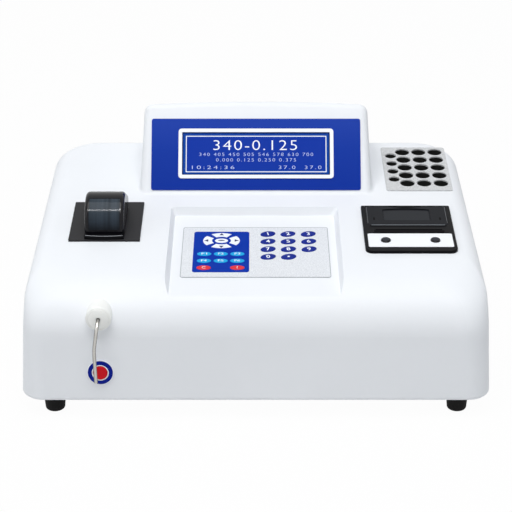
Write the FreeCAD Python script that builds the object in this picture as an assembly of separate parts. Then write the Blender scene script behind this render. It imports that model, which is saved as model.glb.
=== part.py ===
import FreeCAD, Part
import math
import os

# Semi-automatic chemistry analyzer for the bench, in millimetres.
# X runs to the right, Y to the back and Z up. While the pieces are made, Y is counted from the
# bottom front edge of the housing and Z from the table. The last lines centre the whole.

V = FreeCAD.Vector

# Moulded housing
body_width = 400.0
body_depth = 294.0
foot_height = 16.0
wall = 3.0
side_draft = 3.1
front_lean = 1.5
deck_height = 111.6
deck_slope = 7.0
front_round = 36.0
rear_round = 5.0
side_round = 14.0
front_corner = 20.0
front_corner_growth = 14.0
rounding_turns = [0, 15, 30, 45, 60, 75, 90]
least_step = 0.25
most_step = 2.5
rear_corner = 34.0
bottom_round = 3.5
sheet = 1.5

# Display hood
hood_foot_y = 183.4
hood_width = 213.2
hood_height = 208.0
hood_lean = 33.0
hood_fall = 18.0
hood_draft = 2.3
hood_crown = 3.0
hood_rear_step = 7.0
hood_corner = 8.0
hood_edge_round = 6.0
hood_rear_round = 12.0
hood_blend = 4.0

# Display
panel_width = 193.6
panel_length = 67.8
panel_start = 3.7
panel_thick = 0.8
display_width = 143.5
display_length = 47.2
display_start = 14.6
display_bar = 3.3
display_bar_thick = 1.0
display_board_width = 152.0
display_board_margin = 4.0

# Keypad
pocket_depth = 7.0
pocket_width = 151.2
pocket_x = -1.4
pocket_back = 159.8
pocket_run = 3.6
pocket_corner = 4.0
keypad_width = 129.0
keypad_length = 87.7
keypad_start = 45.4
keypad_x = -0.4
keypad_thick = 0.6

# Reader
reader_inset = 66.9
reader_x = reader_inset - body_width / 2
reader_start = 95.5
reader_width = 62.6
reader_length = 71.0
reader_plate_thick = 1.5
collar_start = 96.1
collar_end = 153.1
collar_width = 34.8
collar_height = 5.0
collar_bulge = 1.5
reader_hole_width = 25.0
reader_hole_start = 103.2
reader_hole_end = 148.2
cover_radius = 25.0
cover_fall = 33.0
cover_end = 161.7
cover_wall = 1.8
cover_cheek = 2.6
cover_shoulder = 3.4
shield_thick = 1.2
shield_half_width = 13.6
shield_ledge = 2.0
shield_from = 6.0
shield_to = 76.0
hinge_u = 158.1
hinge_w = 7.6
hinge_pin_radius = 1.0
hinge_lug_width = 8.0
hinge_lug_radius = 3.2

# Optics
bench_top = 56.0
bench_thick = 6.0
bench_width = 78.0
bench_start = 92.0
bench_end = 246.0
bench_leg_radius = 7.0
optic_z = 82.0
cell_y = 130.0
cell_side = 12.4
cell_bottom = 70.0
cell_top = 118.0
cell_port_z = 111.0
cell_port_radius = 0.8
holder_width = 34.0
holder_length = 30.0
holder_top = 104.0
light_hole_radius = 2.5
wheel_radius = 28.0
wheel_thick = 3.0
wheel_y = 167.5
wheel_pitch_radius = 22.0
wheel_dx = 19.0
filter_count = 8
filter_radius = 4.5
filter_motor_radius = 14.0
filter_motor_length = 12.0
filter_shaft_radius = 2.0
lamp_house_start = 180.0
lamp_house_length = 52.0
lamp_house_width = 44.0
lamp_house_height = 54.0
lamp_bore = 14.0
lamp_radius = 5.5
lamp_length = 26.0
detector_y = 104.0

# Tube rack
rack_inset = 17.7
rack_width = 61.4
rack_left = body_width / 2 - rack_inset - rack_width
rack_start = 190.2
rack_length = 89.3
rack_plate_thick = 1.2
rack_margin = 2.0
block_bottom = 92.0
well_bottom = 98.0
well_diameter = 13.6
well_columns = 3
well_rows = 5
well_inset = 20.3
well_first_x = rack_left + well_inset
well_pitch_x = 15.65
well_first_u = 204.5
well_pitch_u = 16.19
small_well_diameter = 10.3
small_well_inset = 8.5
small_well_x = rack_left + small_well_inset
small_well_rows = 4
heater_thick = 1.5

# Printer
printer_inset = 65.0
printer_x = body_width / 2 - printer_inset
bezel_width = 80.0
bezel_start = 74.6
bezel_length = 82.7
bezel_thick = 3.0
bezel_corner = 6.0
lid_half_width = 35.8
lid_start = 122.4
lid_end = 155.3
lid_thick = 2.7
grip_half = 21.0
grip_start = 129.6
grip_end = 149.4
grip_crest = 2.4
grip_depth = 0.8
notch_bow = 60.0
notch_depth = 2.2
lid_pin_radius = 1.2
lid_pin_reach = 1.7
slot_start = 109.6
slot_width = 3.0
slot_half_length = 29.5
strip_start = 81.0
strip_length = 23.6
strip_width = 74.0
strip_thick = 0.7
strip_recess = 0.5
button_dx = 21.65
button_u = 92.4
button_radius = 4.25
button_rise = 1.4
button_travel = 1.0
tray_start = 84.0
tray_step = 101.8
tray_end = 153.6
tray_half_width = 35.0
tray_wall = 2.0
tray_shelf = 8.0
tray_depth = 44.0
roll_radius = 20.0
roll_core_radius = 6.0
paper_width = 57.0
platen_radius = 5.0
platen_journal_radius = 2.0
platen_u = 110.5
platen_w = -5.5
head_height = 7.0

# Front: sipper and aspirate button
sipper_inset = 69.5
sipper_x = sipper_inset - body_width / 2
sipper_up = 78.5
boss_radius = 10.75
boss_reach = 6.4
boss_neck_radius = 5.0
boss_neck = 18.0
sipper_radius = 1.5
sipper_bore = 0.8
sipper_out = 16.6
sipper_drop = 53.0
sipper_drift = -3.4
sipper_bend = 9.0
sipper_inside = 22.0
aspirate_inset = 69.1
aspirate_x = aspirate_inset - body_width / 2
aspirate_up = 27.5
aspirate_flange_radius = 11.3
aspirate_flange_thick = 0.8
aspirate_neck_radius = 8.0
ring_outer_radius = 10.5
ring_inner_radius = 7.15
ring_thick = 0.8
aspirate_radius = 6.0
aspirate_rise = 2.4
aspirate_travel = 1.5
aspirate_collar = 1.2
aspirate_arm = 6.9

# Pump
pump_x = -60.0
pump_y = 28.0
pump_z = 45.0
pump_width = 50.0
pump_length = 14.0
pump_top = 70.0
pump_back_wall = 3.0
tube_radius = 1.6
tube_bore = 0.8
tube_orbit = 18.0
roller_count = 3
roller_radius = 3.8
roller_orbit = 12.4
roller_pin_radius = 1.5
rotor_radius = 15.6
rotor_disc = 2.0
pump_shaft_radius = 2.5
pump_motor_radius = 18.0
pump_motor_length = 45.0
pump_tube_top = 88.0

# Base and rear
tray_flange = 9.0
post_radius = 5.5
post_top = 62.0
post_rib = 3.0
foot_inset = 27.4
foot_x = body_width / 2 - foot_inset
foot_front_y = 18.5
foot_rear_y = 272.0
foot_radius = 9.6
foot_lower_radius = 8.2
foot_bottom_round = 2.6
foot_screw_radius = 2.0
foot_screw_length = 24.0
foot_screw_head_radius = 3.4
foot_screw_head = 2.6
foot_recess = 5.0
rear_opening_inset = 54.0
rear_opening_half_width = body_width / 2 - rear_opening_inset
rear_opening_top = 118.0
rear_panel_margin = 12.0
rear_screw_x = 152.0
rear_screw_rows = (32.0, 72.0, 110.0)
rear_screw_radius = 1.6
rear_screw_head_radius = 3.2
rear_screw_head = 2.2
fan_x = 95.0
fan_z = 58.0
fan_side = 60.0
fan_thick = 15.0
fan_bore = 28.5
fan_hub_radius = 11.5
fan_blades = 7
fan_strut = 3.0
inlet_x = -105.0
inlet_z = 50.0
inlet_width = 58.0
inlet_height = 32.0
inlet_flange = 2.5
inlet_body_width = 48.0
inlet_body_height = 27.0
inlet_depth = 26.0
socket_width = 24.0
socket_height = 16.0
socket_depth = 17.5
socket_offset = -11.0
pin_length = 12.0
rocker_offset = 14.5
rocker_width = 12.0
rocker_length = 18.8
rocker_throw = 10.0
port_x = 15.0
port_width = 31.0
port_height = 12.5
port_reach = 6.0
waste_x = -42.0
waste_reach = 16.0
board_left = -45.0
board_right = 60.0
board_start = 130.0
board_z = 26.0
board_thick = 1.6
supply_inset = 13.0
supply_width = 89.0
supply_right = body_width / 2 - supply_inset
supply_left = supply_right - supply_width
supply_start = 70.0
supply_end = 186.0
supply_height = 40.0

# Clearances
gap = 0.3
slip = 0.05
slot_gap = 0.2


def sin(angle):
    return math.sin(math.radians(angle))


def cos(angle):
    return math.cos(math.radians(angle))


def tan(angle):
    return math.tan(math.radians(angle))


# Shapes made from outlines
def rounded_path(points, radii, closed):
    """Edges through the points, with a tangent arc of its own radius at each corner."""
    count = len(points)
    corners = []
    for i in range(count):
        point = points[i]
        if radii[i] <= 0 or (not closed and i in (0, count - 1)):
            corners.append((point, None, point))
            continue
        back = (points[i - 1] - point).normalize()
        ahead = (points[(i + 1) % count] - point).normalize()
        half = back.getAngle(ahead) / 2
        middle = (back + ahead).normalize()
        reach = radii[i] / math.tan(half)
        top = point + middle * (radii[i] / math.sin(half) - radii[i])
        corners.append((point + back * reach, top, point + ahead * reach))
    edges = []
    for i in range(count):
        start, top, end = corners[i]
        if top is not None:
            edges.append(Part.Arc(start, top, end).toShape())
        if i < count - 1 or closed:
            following = corners[(i + 1) % count][0]
            if end.distanceToPoint(following) > 0.001:
                edges.append(Part.makeLine(end, following))
    return Part.Wire(edges)


def outline(points, radii=0.0):
    """Closed flat wire through (x, y) corners. One radius serves all corners, or each has its own."""
    if not isinstance(radii, (list, tuple)):
        radii = [radii] * len(points)
    return rounded_path([V(x, y, 0) for x, y in points], radii, True)


def prism(points, radii, low, high):
    """Upright prism on an outline in the XY plane."""
    face = Part.Face(outline(points, radii))
    face.translate(V(0, 0, low))
    return face.extrude(V(0, 0, high - low))


def side_prism(points, radii, left, right):
    """Prism along X on an outline of (Y, Z) corners."""
    solid = prism(points, radii, left, right)
    solid.rotate(V(0, 0, 0), V(1, 1, 1), 120)
    return solid


def front_prism(points, radii, front, back):
    """Prism along Y on an outline of (X, Z) corners."""
    solid = prism(points, radii, -back, -front)
    solid.rotate(V(0, 0, 0), V(1, 0, 0), 90)
    return solid


def rectangle(left, right, front, back):
    return [(left, front), (right, front), (right, back), (left, back)]


def plate(left, right, front, back, low, high, radius=0.0):
    return prism(rectangle(left, right, front, back), radius, low, high)


def cylinder(x, y, z, radius, length, axis=V(0, 0, 1)):
    return Part.makeCylinder(radius, length, V(x, y, z), axis)


def cylinder_y(x, y, z, radius, length):
    return cylinder(x, y, z, radius, length, V(0, 1, 0))


def cylinder_x(x, y, z, radius, length):
    return cylinder(x, y, z, radius, length, V(1, 0, 0))


def joined(shapes):
    """Pieces of one moulding, fused, with the seams between flat faces taken out."""
    first = shapes[0]
    return first.fuse(shapes[1:]).removeSplitter()


def group(shapes):
    """Separate solids that share a node."""
    return Part.Compound(shapes)


def inset_corners(corners, insets):
    """Corners of a counter-clockwise outline after each side has moved inwards by its inset."""
    sides = []
    count = len(corners)
    for i in range(count):
        start = V(corners[i][0], corners[i][1], 0)
        end = V(corners[(i + 1) % count][0], corners[(i + 1) % count][1], 0)
        along = (end - start).normalize()
        sides.append((start + V(-along.y, along.x, 0) * insets[i], along))
    moved = []
    for i in range(count):
        p, d = sides[i - 1]
        q, e = sides[i]
        t = ((q.x - p.x) * e.y - (q.y - p.y) * e.x) / (d.x * e.y - d.y * e.x)
        moved.append((p.x + d.x * t, p.y + d.y * t))
    return moved


def pipe(points, bends, radius, bore):
    """Tube along a path of straight runs and arcs."""
    path = rounded_path(points, [0.0] + bends + [0.0], False)
    along = (points[1] - points[0]).normalize()
    skins = []
    for r in (radius, bore):
        ring = Part.Wire(Part.makeCircle(r, points[0], along))
        skins.append(path.makePipeShell([ring], True, False))
    return skins[0].cut(skins[1])


# Working frames on the housing
def deck_z(y):
    return deck_height + y * tan(deck_slope)


def on_deck(shape):
    """From deck terms, with X across, Y up the slope and Z off the deck, to the instrument's frame."""
    placed = shape.copy()
    placed.rotate(V(0, 0, 0), V(1, 0, 0), deck_slope)
    placed.translate(V(0, 0, deck_height))
    return placed


def on_hood(shape):
    """From terms of the hood's face: Y runs up the face from the deck, and Z off the face."""
    placed = shape.copy()
    placed.rotate(V(0, 0, 0), V(1, 0, 0), 90 - hood_lean)
    placed.translate(V(0, hood_foot_y, deck_z(hood_foot_y)))
    return placed


def front_point(x, up, out):
    """A point by its height up the front face and its distance off it."""
    y = up * sin(front_lean) - out * cos(front_lean)
    z = foot_height + up * cos(front_lean) + out * sin(front_lean)
    return V(x, y, z)


def on_front(shape):
    """From terms of the front face: Y runs up the face, and Z off the face."""
    placed = shape.copy()
    placed.rotate(V(0, 0, 0), V(1, 0, 0), 90 - front_lean)
    placed.translate(V(0, 0, foot_height))
    return placed


# Housing
def half_width(z, inset):
    return body_width / 2 - (z - foot_height) * tan(side_draft) - inset / cos(side_draft)


def front_y(z, inset):
    return (z - foot_height) * tan(front_lean) + inset / cos(front_lean)


def rounding_inset(depth, radius):
    """How far a rounded edge has drawn in, at a depth below the surface that it runs into."""
    if depth >= radius:
        return 0.0
    return radius - math.sqrt(radius ** 2 - (radius - depth) ** 2)


def deck_section(depth, inset):
    """Outline of the body in a plane parallel to the deck, at a depth below it."""
    w = -depth - inset
    corners = []
    for u, wall_at in ((0.0, front_y), (body_depth / cos(deck_slope), None)):
        for _ in range(8):
            z = deck_height + u * sin(deck_slope) + w * cos(deck_slope)
            y = wall_at(z, inset) if wall_at else body_depth - inset
            u = (y + w * sin(deck_slope)) / cos(deck_slope)
        across = half_width(z, inset)
        corners += [(-across, u), (across, u)]
    corners = [corners[0], corners[1], corners[3], corners[2]]
    front_in = rounding_inset(depth, front_round - inset)
    side_in = rounding_inset(depth, side_round - inset)
    rear_in = rounding_inset(depth, rear_round - inset)
    corners = inset_corners(corners, [front_in, side_in, rear_in, side_in])
    front = front_corner - inset + front_corner_growth * front_in / front_round
    rear = rear_corner - inset - rear_in
    wire = outline(corners, [front, front, rear, rear])
    wire.translate(V(0, 0, w))
    return on_deck(wire)


def body_form(inset, bottom_inset):
    """The body without its hood: drafted walls up to the rounding, and the rounded top above them."""
    radii = [front_round - inset, side_round - inset, rear_round - inset]
    all_depths = sorted(radius * (1 - cos(turn)) for radius in radii for turn in rounding_turns)
    depths = [0.0]
    for depth in all_depths:
        gap_to_next = depth - depths[-1]
        if gap_to_next > least_step:
            steps = math.ceil(gap_to_next / most_step)
            depths += [depths[-1] + gap_to_next * step / steps for step in range(1, steps + 1)]
    sections = [deck_section(depth, inset) for depth in depths]
    crown = Part.makeLoft(sections, True, False)
    lower = Part.makeLoft([sections[-1], deck_section(body_depth / 2, inset)], True, True)
    floor_z = foot_height + bottom_inset
    above = Part.makeBox(2 * body_width, 2 * body_depth, body_depth, V(-body_width, -body_depth / 2, floor_z))
    lower = lower.common(above)
    if bottom_round > inset:
        rim = [e for e in lower.Edges if e.BoundBox.ZMax < floor_z + 0.01]
        lower = lower.makeFillet(bottom_round - inset, rim)
    return crown.fuse(lower)


def hood_half(z, inset):
    return hood_width / 2 - (z - deck_z(hood_foot_y)) * tan(hood_draft) - inset / cos(hood_draft)


def hood_form(inset):
    """The hood, reaching down into the body: side outline and crowned, drafted cross-section."""
    low = deck_height / 2
    face_base = deck_z(hood_foot_y)
    rear = body_depth - hood_rear_step
    top_y = hood_foot_y + (hood_height - face_base) * tan(hood_lean)
    rear_top = hood_height - (rear - top_y) * tan(hood_fall)
    low_y = hood_foot_y - (face_base - low) * tan(hood_lean)
    corners = [(low_y, low), (rear, low), (rear, rear_top), (top_y, hood_height)]
    corners = inset_corners(corners, [0.0, inset, inset, inset])
    side = side_prism(corners, [0.0, 0.0, hood_rear_round - inset, 0.0], -hood_width, hood_width)
    top = hood_height - inset / cos(hood_fall)
    edge = top - hood_crown
    lower = hood_half(low, inset)
    upper = hood_half(edge, inset)
    points = [V(-lower, top_y, low), V(lower, top_y, low), V(upper, top_y, edge), V(-upper, top_y, edge)]
    rim = [Part.makeLine(points[0], points[1]), Part.makeLine(points[1], points[2]),
           Part.Arc(points[2], V(0, top_y, top), points[3]).toShape(), Part.makeLine(points[3], points[0])]
    section = Part.Face(Part.Wire(rim))
    fall = V(0, cos(hood_fall), -sin(hood_fall))
    section.translate(fall * -body_depth / 2)
    cross = section.extrude(fall * body_depth)
    shoulders = [e for e in cross.Edges if abs(abs(e.CenterOfMass.x) - upper) < 0.01]
    cross = cross.makeFillet(hood_corner - inset, shoulders)
    return side.common(cross)


def hood_outer():
    """The hood's outside, with the edge round its face softened."""
    solid = hood_form(0.0)
    normal = V(0, -cos(hood_lean), sin(hood_lean))
    face = [f for f in solid.Faces if f.normalAt(0, 0).getAngle(normal) < 0.001][0]
    rim = [e for e in face.Edges if e.BoundBox.ZMax > deck_height]
    return solid.makeFillet(hood_edge_round, rim)


def pocket_form(grow, depth, rise):
    """The keypad pocket's space, wider at the top by the slant of its walls."""
    wires = []
    for w in (-depth, rise):
        across = pocket_width / 2 + w * pocket_run / pocket_depth + grow
        back = pocket_back + w * pocket_run / pocket_depth + grow
        corner = pocket_corner + grow
        corners = rectangle(pocket_x - across, pocket_x + across, -front_round, back)
        wire = outline(corners, [0.0, 0.0, corner, corner])
        wire.translate(V(0, 0, w))
        wires.append(wire)
    return on_deck(Part.makeLoft(wires, True, True))


def deck_cut(left, right, front, back, radius):
    return on_deck(plate(left, right, front, back, -2 * wall, 2 * wall, radius))


def rear_screw_places():
    return [(x, z) for x in (-rear_screw_x, rear_screw_x) for z in rear_screw_rows]


def housing_posts():
    """Posts over the feet, each with a rib to the side wall, for the screws of the feet."""
    low = foot_height + sheet
    posts = []
    for x, y in foot_places():
        side = math.copysign(1, x)
        posts.append(cylinder(x, y, low, post_radius, post_top - low))
        inner = min(x, side * body_width / 2)
        outer = max(x, side * body_width / 2)
        posts.append(plate(inner, outer, y - post_rib / 2, y + post_rib / 2, 2 * foot_height, post_top))
    return joined(posts)


def upper_housing():
    outer_body = body_form(0.0, 0.0)
    outer = outer_body.fuse(hood_outer())
    rim = [e for e in outer.Edges if is_hood_foot(e)]
    outer = outer.makeFillet(hood_blend, rim)
    inner = body_form(wall, -2 * wall).fuse(hood_form(wall))
    shell = outer.cut(inner)
    backing = pocket_form(wall, pocket_depth + wall, 0.0).common(outer_body)
    shell = shell.fuse([backing, housing_posts().common(outer_body)])
    shell = shell.cut(pocket_form(0.0, pocket_depth, 2 * pocket_depth))
    window = display_width / 2 - display_bar + slot_gap
    display_low = display_start + display_bar - slot_gap
    display_high = display_start + display_length - display_bar + slot_gap
    cuts = [on_hood(plate(-window, window, display_low, display_high, -2 * wall, wall, 1.0))]
    reader_half = reader_hole_width / 2 + wall
    cuts.append(deck_cut(reader_x - reader_half, reader_x + reader_half, reader_hole_start - wall,
                         reader_hole_end + wall, 2.0))
    printer_half = tray_half_width + gap
    cuts.append(deck_cut(printer_x - printer_half, printer_x + printer_half, tray_start - gap,
                         tray_end + gap, 1.0))
    cuts.append(deck_cut(rack_left + rack_margin - gap, rack_left + rack_width - rack_margin + gap,
                         rack_start + rack_margin - gap, rack_start + rack_length - rack_margin + gap, 0.5))
    boss_hole = boss_neck_radius + slot_gap
    cuts.append(on_front(cylinder(sipper_x, sipper_up, -boss_neck, boss_hole, 2 * boss_neck)))
    neck_hole = aspirate_neck_radius + slot_gap
    cuts.append(on_front(cylinder(aspirate_x, aspirate_up, -2 * wall, neck_hole, 3 * wall)))
    low = foot_height - wall
    opening = rectangle(-rear_opening_half_width, rear_opening_half_width, low, rear_opening_top)
    cuts.append(front_prism(opening, [0.0, 0.0, 6.0, 6.0], body_depth - 2 * wall, body_depth + wall))
    for x, z in rear_screw_places():
        cuts.append(cylinder_y(x, body_depth - 2 * wall, z, rear_screw_radius + slot_gap, 3 * wall))
    for x, y in foot_places():
        cuts.append(cylinder(x, y, foot_height, foot_screw_radius + slip, foot_recess + foot_screw_length))
    for tool in cuts:
        shell = shell.cut(tool)
    return shell


def is_hood_foot(edge):
    """True for the lines along which the hood's face and sides meet the deck."""
    box = edge.BoundBox
    ends = [edge.valueAt(edge.FirstParameter), edge.valueAt(edge.LastParameter)]
    flat = all(abs(p.z - deck_z(p.y)) < 0.05 for p in ends)
    within = box.XMin > -hood_width / 2 - 1 and box.XMax < hood_width / 2 + 1
    return flat and within and hood_foot_y - 2 < box.YMin < body_depth - hood_rear_step - 1


# Display
def display_fascia():
    half = panel_width / 2
    film = plate(-half, half, panel_start, panel_start + panel_length, 0, panel_thick, 2.0)
    opening = display_width / 2 - display_bar
    window = plate(-opening, opening, display_start + display_bar,
                   display_start + display_length - display_bar, -1, 2, 1.0)
    return on_hood(film.cut(window))


def display_frame():
    half = display_width / 2
    high = display_start + display_length
    top = panel_thick + display_bar_thick
    ring = plate(-half, half, display_start, high, panel_thick, top, 3.0)
    opening = half - display_bar
    window = plate(-opening, opening, display_start + display_bar, high - display_bar, 0, 3, 1.0)
    return on_hood(ring.cut(window))


def display_glass():
    half = display_width / 2 - display_bar - slot_gap
    low = display_start + display_bar + slot_gap
    high = display_start + display_length - display_bar - slot_gap
    return on_hood(plate(-half, half, low, high, -wall, 0.4, 0.8))


def display_board():
    half = display_board_width / 2
    low = display_start - display_board_margin
    high = display_start + display_length + display_board_margin
    board = plate(-half, half, low, high, -wall - board_thick, -wall, 1.0)
    chips = []
    back = -wall - board_thick
    middle = (low + high) / 2
    for i in range(6):
        x = (i - 2.5) * 22.0
        chips.append(plate(x - 7, x + 7, middle - 6, middle + 6, back - 1.6, back))
    chips.append(plate(-half + 6, -half + 46, high - 9, high - 3, back - 6, back))
    return on_hood(joined([board] + chips))


def keypad_overlay():
    half = keypad_width / 2
    film = plate(keypad_x - half, keypad_x + half, keypad_start, keypad_start + keypad_length,
                 -pocket_depth, -pocket_depth + keypad_thick, 2.0)
    return on_deck(film)


# Reader
def reader_hole(low, high):
    half = reader_hole_width / 2
    return plate(reader_x - half, reader_x + half, reader_hole_start, reader_hole_end, low, high, 3.0)


def reader_plate():
    half = reader_width / 2
    base = plate(reader_x - half, reader_x + half, reader_start, reader_start + reader_length,
                 0, reader_plate_thick, 0.6)
    return on_deck(base.cut(reader_hole(-1, 3)))


def reader_collar():
    half = collar_width / 2
    front = collar_start
    bow = (half * half + collar_bulge * collar_bulge) / (2 * collar_bulge)
    ring = plate(reader_x - half, reader_x + half, front, collar_end, reader_plate_thick, collar_height, 0.6)
    ring = ring.common(cylinder(reader_x, front + bow, 0, bow, 2 * collar_height))
    lug_half = hinge_lug_width / 2
    stem = [(collar_end - 2, reader_plate_thick), (hinge_u + hinge_lug_radius, reader_plate_thick),
            (hinge_u + hinge_lug_radius, hinge_w), (hinge_u - hinge_lug_radius, hinge_w),
            (collar_end - 2, collar_height - 0.5)]
    lug = side_prism(stem, 0.0, reader_x - lug_half, reader_x + lug_half)
    eye = cylinder_x(reader_x - lug_half, hinge_u, hinge_w, hinge_lug_radius, hinge_lug_width)
    solid = joined([ring, lug, eye])
    bore = cylinder_x(reader_x - half, hinge_u, hinge_w, hinge_pin_radius, collar_width)
    return on_deck(solid.cut([reader_hole(-1, 2 * collar_height), bore]))


def cover_profile(inset, low):
    """Side outline of the domed cover: quarter dome, straight fall to the rear, upright rear wall."""
    radius = cover_radius - inset
    centre_u = collar_start + collar_bulge + 3.9 + cover_radius
    base = collar_height + gap
    start = V(0, centre_u - radius, base)
    crown = V(0, centre_u - radius * sin(30), base + radius * cos(30))
    leave = V(0, centre_u + radius * sin(cover_fall), base + radius * cos(cover_fall))
    rear = cover_end - inset
    rear_top = leave.z - (rear - leave.y) * tan(cover_fall)
    corner = 3.5 - inset * 0.5
    reach = corner * tan((90 - cover_fall) / 2)
    turn_in = V(0, rear - reach * cos(cover_fall), rear_top + reach * sin(cover_fall))
    turn_out = V(0, rear, rear_top - reach)
    middle = (turn_in + turn_out) / 2
    centre = V(0, rear - corner, rear_top - reach)
    bulge = centre + (middle - centre).normalize() * corner
    edges = [Part.Arc(start, crown, leave).toShape(), Part.makeLine(leave, turn_in),
             Part.Arc(turn_in, bulge, turn_out).toShape(),
             Part.makeLine(turn_out, V(0, rear, low)), Part.makeLine(V(0, rear, low), V(0, start.y, low))]
    if low < base:
        edges.append(Part.makeLine(V(0, start.y, low), start))
    return Part.Face(Part.Wire(edges)), V(0, centre_u, base)


def dome_sector(inner, outer, half, start, end):
    """Part of a tube round the dome's axis, between two angles counted up from the front."""
    centre = cover_profile(0.0, collar_height + gap)[1]
    points = []
    for radius, angle in ((inner, start), (inner, end), (outer, end), (outer, start)):
        points.append(centre + V(0, -radius * cos(angle), radius * sin(angle)))
    middle = (start + end) / 2
    arcs = []
    for radius in (inner, outer):
        arcs.append(centre + V(0, -radius * cos(middle), radius * sin(middle)))
    edges = [Part.Arc(points[0], arcs[0], points[1]).toShape(), Part.makeLine(points[1], points[2]),
             Part.Arc(points[2], arcs[1], points[3]).toShape(), Part.makeLine(points[3], points[0])]
    face = Part.Face(Part.Wire(edges))
    face.translate(V(reader_x - half, 0, 0))
    return face.extrude(V(2 * half, 0, 0))


def reader_cover():
    half = collar_width / 2
    base = collar_height + gap
    face = cover_profile(0.0, base)[0]
    face.translate(V(reader_x - half, 0, 0))
    dome = face.extrude(V(collar_width, 0, 0))
    rims = []
    for e in dome.Edges:
        across = e.BoundBox.XLength
        upper = e.BoundBox.ZMax > base + 0.01
        if across < 0.01 and upper:
            rims.append(e)
    dome = dome.makeFillet(cover_shoulder, rims)
    hollow = cover_profile(cover_wall, base - 1)[0]
    hollow.translate(V(reader_x - half + cover_cheek, 0, 0))
    dome = dome.cut(hollow.extrude(V(collar_width - 2 * cover_cheek, 0, 0)))
    floor = cover_radius - shield_thick
    cuts = [dome_sector(floor, cover_radius + 2, shield_half_width, shield_from, shield_to),
            dome_sector(cover_radius - 2 * cover_wall, cover_radius, shield_half_width - shield_ledge,
                        shield_from + 4, shield_to - 4),
            cylinder_x(reader_x - half - 1, hinge_u, hinge_w, hinge_pin_radius + slip, collar_width + 2)]
    notch = hinge_lug_width / 2 + 0.6
    cuts.append(plate(reader_x - notch, reader_x + notch, cover_end - 3 * cover_wall, cover_end + 1,
                      base - 1, hinge_w + hinge_lug_radius + 1.6))
    return on_deck(dome.cut(cuts))


def reader_shield():
    floor = cover_radius - shield_thick
    return on_deck(dome_sector(floor, cover_radius - 0.2, shield_half_width - slot_gap / 2,
                               shield_from + 0.3, shield_to - 0.3))


def reader_hinge_pin():
    half = collar_width / 2 - 0.2
    return on_deck(cylinder_x(reader_x - half, hinge_u, hinge_w, hinge_pin_radius, 2 * half))


# Optics
def optical_bench():
    left = reader_x - bench_width / 2
    right = reader_x + bench_width / 2
    low = bench_top - bench_thick
    table = plate(left, right, bench_start, bench_end, low, bench_top, 4.0)
    legs = []
    for x in (left + 9, right - 9):
        for y in (bench_start + 10, bench_end - 10):
            legs.append(cylinder(x, y, foot_height + sheet, bench_leg_radius, low - foot_height - sheet))
    return joined([table] + legs)


def cell_holder():
    half = holder_width / 2
    deep = holder_length / 2
    block = plate(reader_x - half, reader_x + half, cell_y - deep, cell_y + deep, bench_top, holder_top, 2.0)
    side = cell_side / 2 + slot_gap / 2
    well = plate(reader_x - side, reader_x + side, cell_y - side, cell_y + side, cell_bottom, holder_top + 1)
    light = cylinder_y(reader_x, cell_y - deep - 1, optic_z, light_hole_radius, holder_length + 2)
    return block.cut([well, light])


def flow_cell():
    side = cell_side / 2
    body = plate(reader_x - side, reader_x + side, cell_y - side, cell_y + side, cell_bottom, cell_top, 0.5)
    duct = cylinder(reader_x, cell_y, optic_z, cell_port_radius, cell_port_z - optic_z)
    inlet = cylinder_y(reader_x, cell_y - side - 1, cell_port_z, cell_port_radius, side + 1)
    outlet = cylinder_x(reader_x, cell_y, cell_port_z, cell_port_radius, side + 1)
    return body.cut([duct, inlet, outlet])


def wheel_centre():
    rise = math.sqrt(wheel_pitch_radius ** 2 - wheel_dx ** 2)
    return reader_x + wheel_dx, optic_z + rise


def filter_places():
    """Centres of the filters round the wheel, one of them on the light path."""
    x, z = wheel_centre()
    first = math.degrees(math.atan2(optic_z - z, reader_x - x))
    places = []
    for i in range(filter_count):
        angle = first + i * 360.0 / filter_count
        places.append((x + wheel_pitch_radius * cos(angle), z + wheel_pitch_radius * sin(angle)))
    return places


def filter_wheel():
    x, z = wheel_centre()
    disc = cylinder_y(x, wheel_y, z, wheel_radius, wheel_thick)
    hub = cylinder_y(x, wheel_y - 2, z, 6.0, wheel_thick + 2)
    holes = [cylinder_y(px, wheel_y - 1, pz, filter_radius, wheel_thick + 2) for px, pz in filter_places()]
    holes.append(cylinder_y(x, wheel_y - 3, z, filter_shaft_radius + slip, wheel_thick + 6))
    return joined([disc, hub]).cut(holes)


def filter_glasses():
    thick = wheel_thick - 0.6
    return group([cylinder_y(x, wheel_y + 0.3, z, filter_radius, thick) for x, z in filter_places()])


def filter_motor():
    x, z = wheel_centre()
    face = wheel_y - 4
    bracket = plate(x - 15.5, x + 15.5, face - 2, face, bench_top, z + filter_motor_radius + 2, 0.5)
    can = cylinder_y(x, face - 2 - filter_motor_length, z, filter_motor_radius, filter_motor_length)
    shaft = cylinder_y(x, face, z, filter_shaft_radius, wheel_y + wheel_thick + 1 - face)
    return joined([bracket, can, shaft])


def lamp_house():
    half = lamp_house_width / 2
    end = lamp_house_start + lamp_house_length
    top = bench_top + lamp_house_height
    block = plate(reader_x - half, reader_x + half, lamp_house_start, end, bench_top, top, 2.0)
    barrel = cylinder_y(reader_x, lamp_house_start - 7, optic_z, 8.0, 8.0)
    solid = joined([block, barrel])
    centre = lamp_house_start + lamp_house_length / 2
    cuts = [cylinder(reader_x, centre, bench_top + 8, lamp_bore, lamp_house_height),
            cylinder_y(reader_x, lamp_house_start - 8, optic_z, 5.0, lamp_house_length / 2)]
    for i in range(7):
        y = lamp_house_start + 6 + i * 6.4
        for side in (-1, 1):
            x = reader_x + side * half
            cuts.append(plate(x - 4, x + 4, y, y + 2.6, bench_top + 10, top + 1))
    return solid.cut(cuts)


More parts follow.
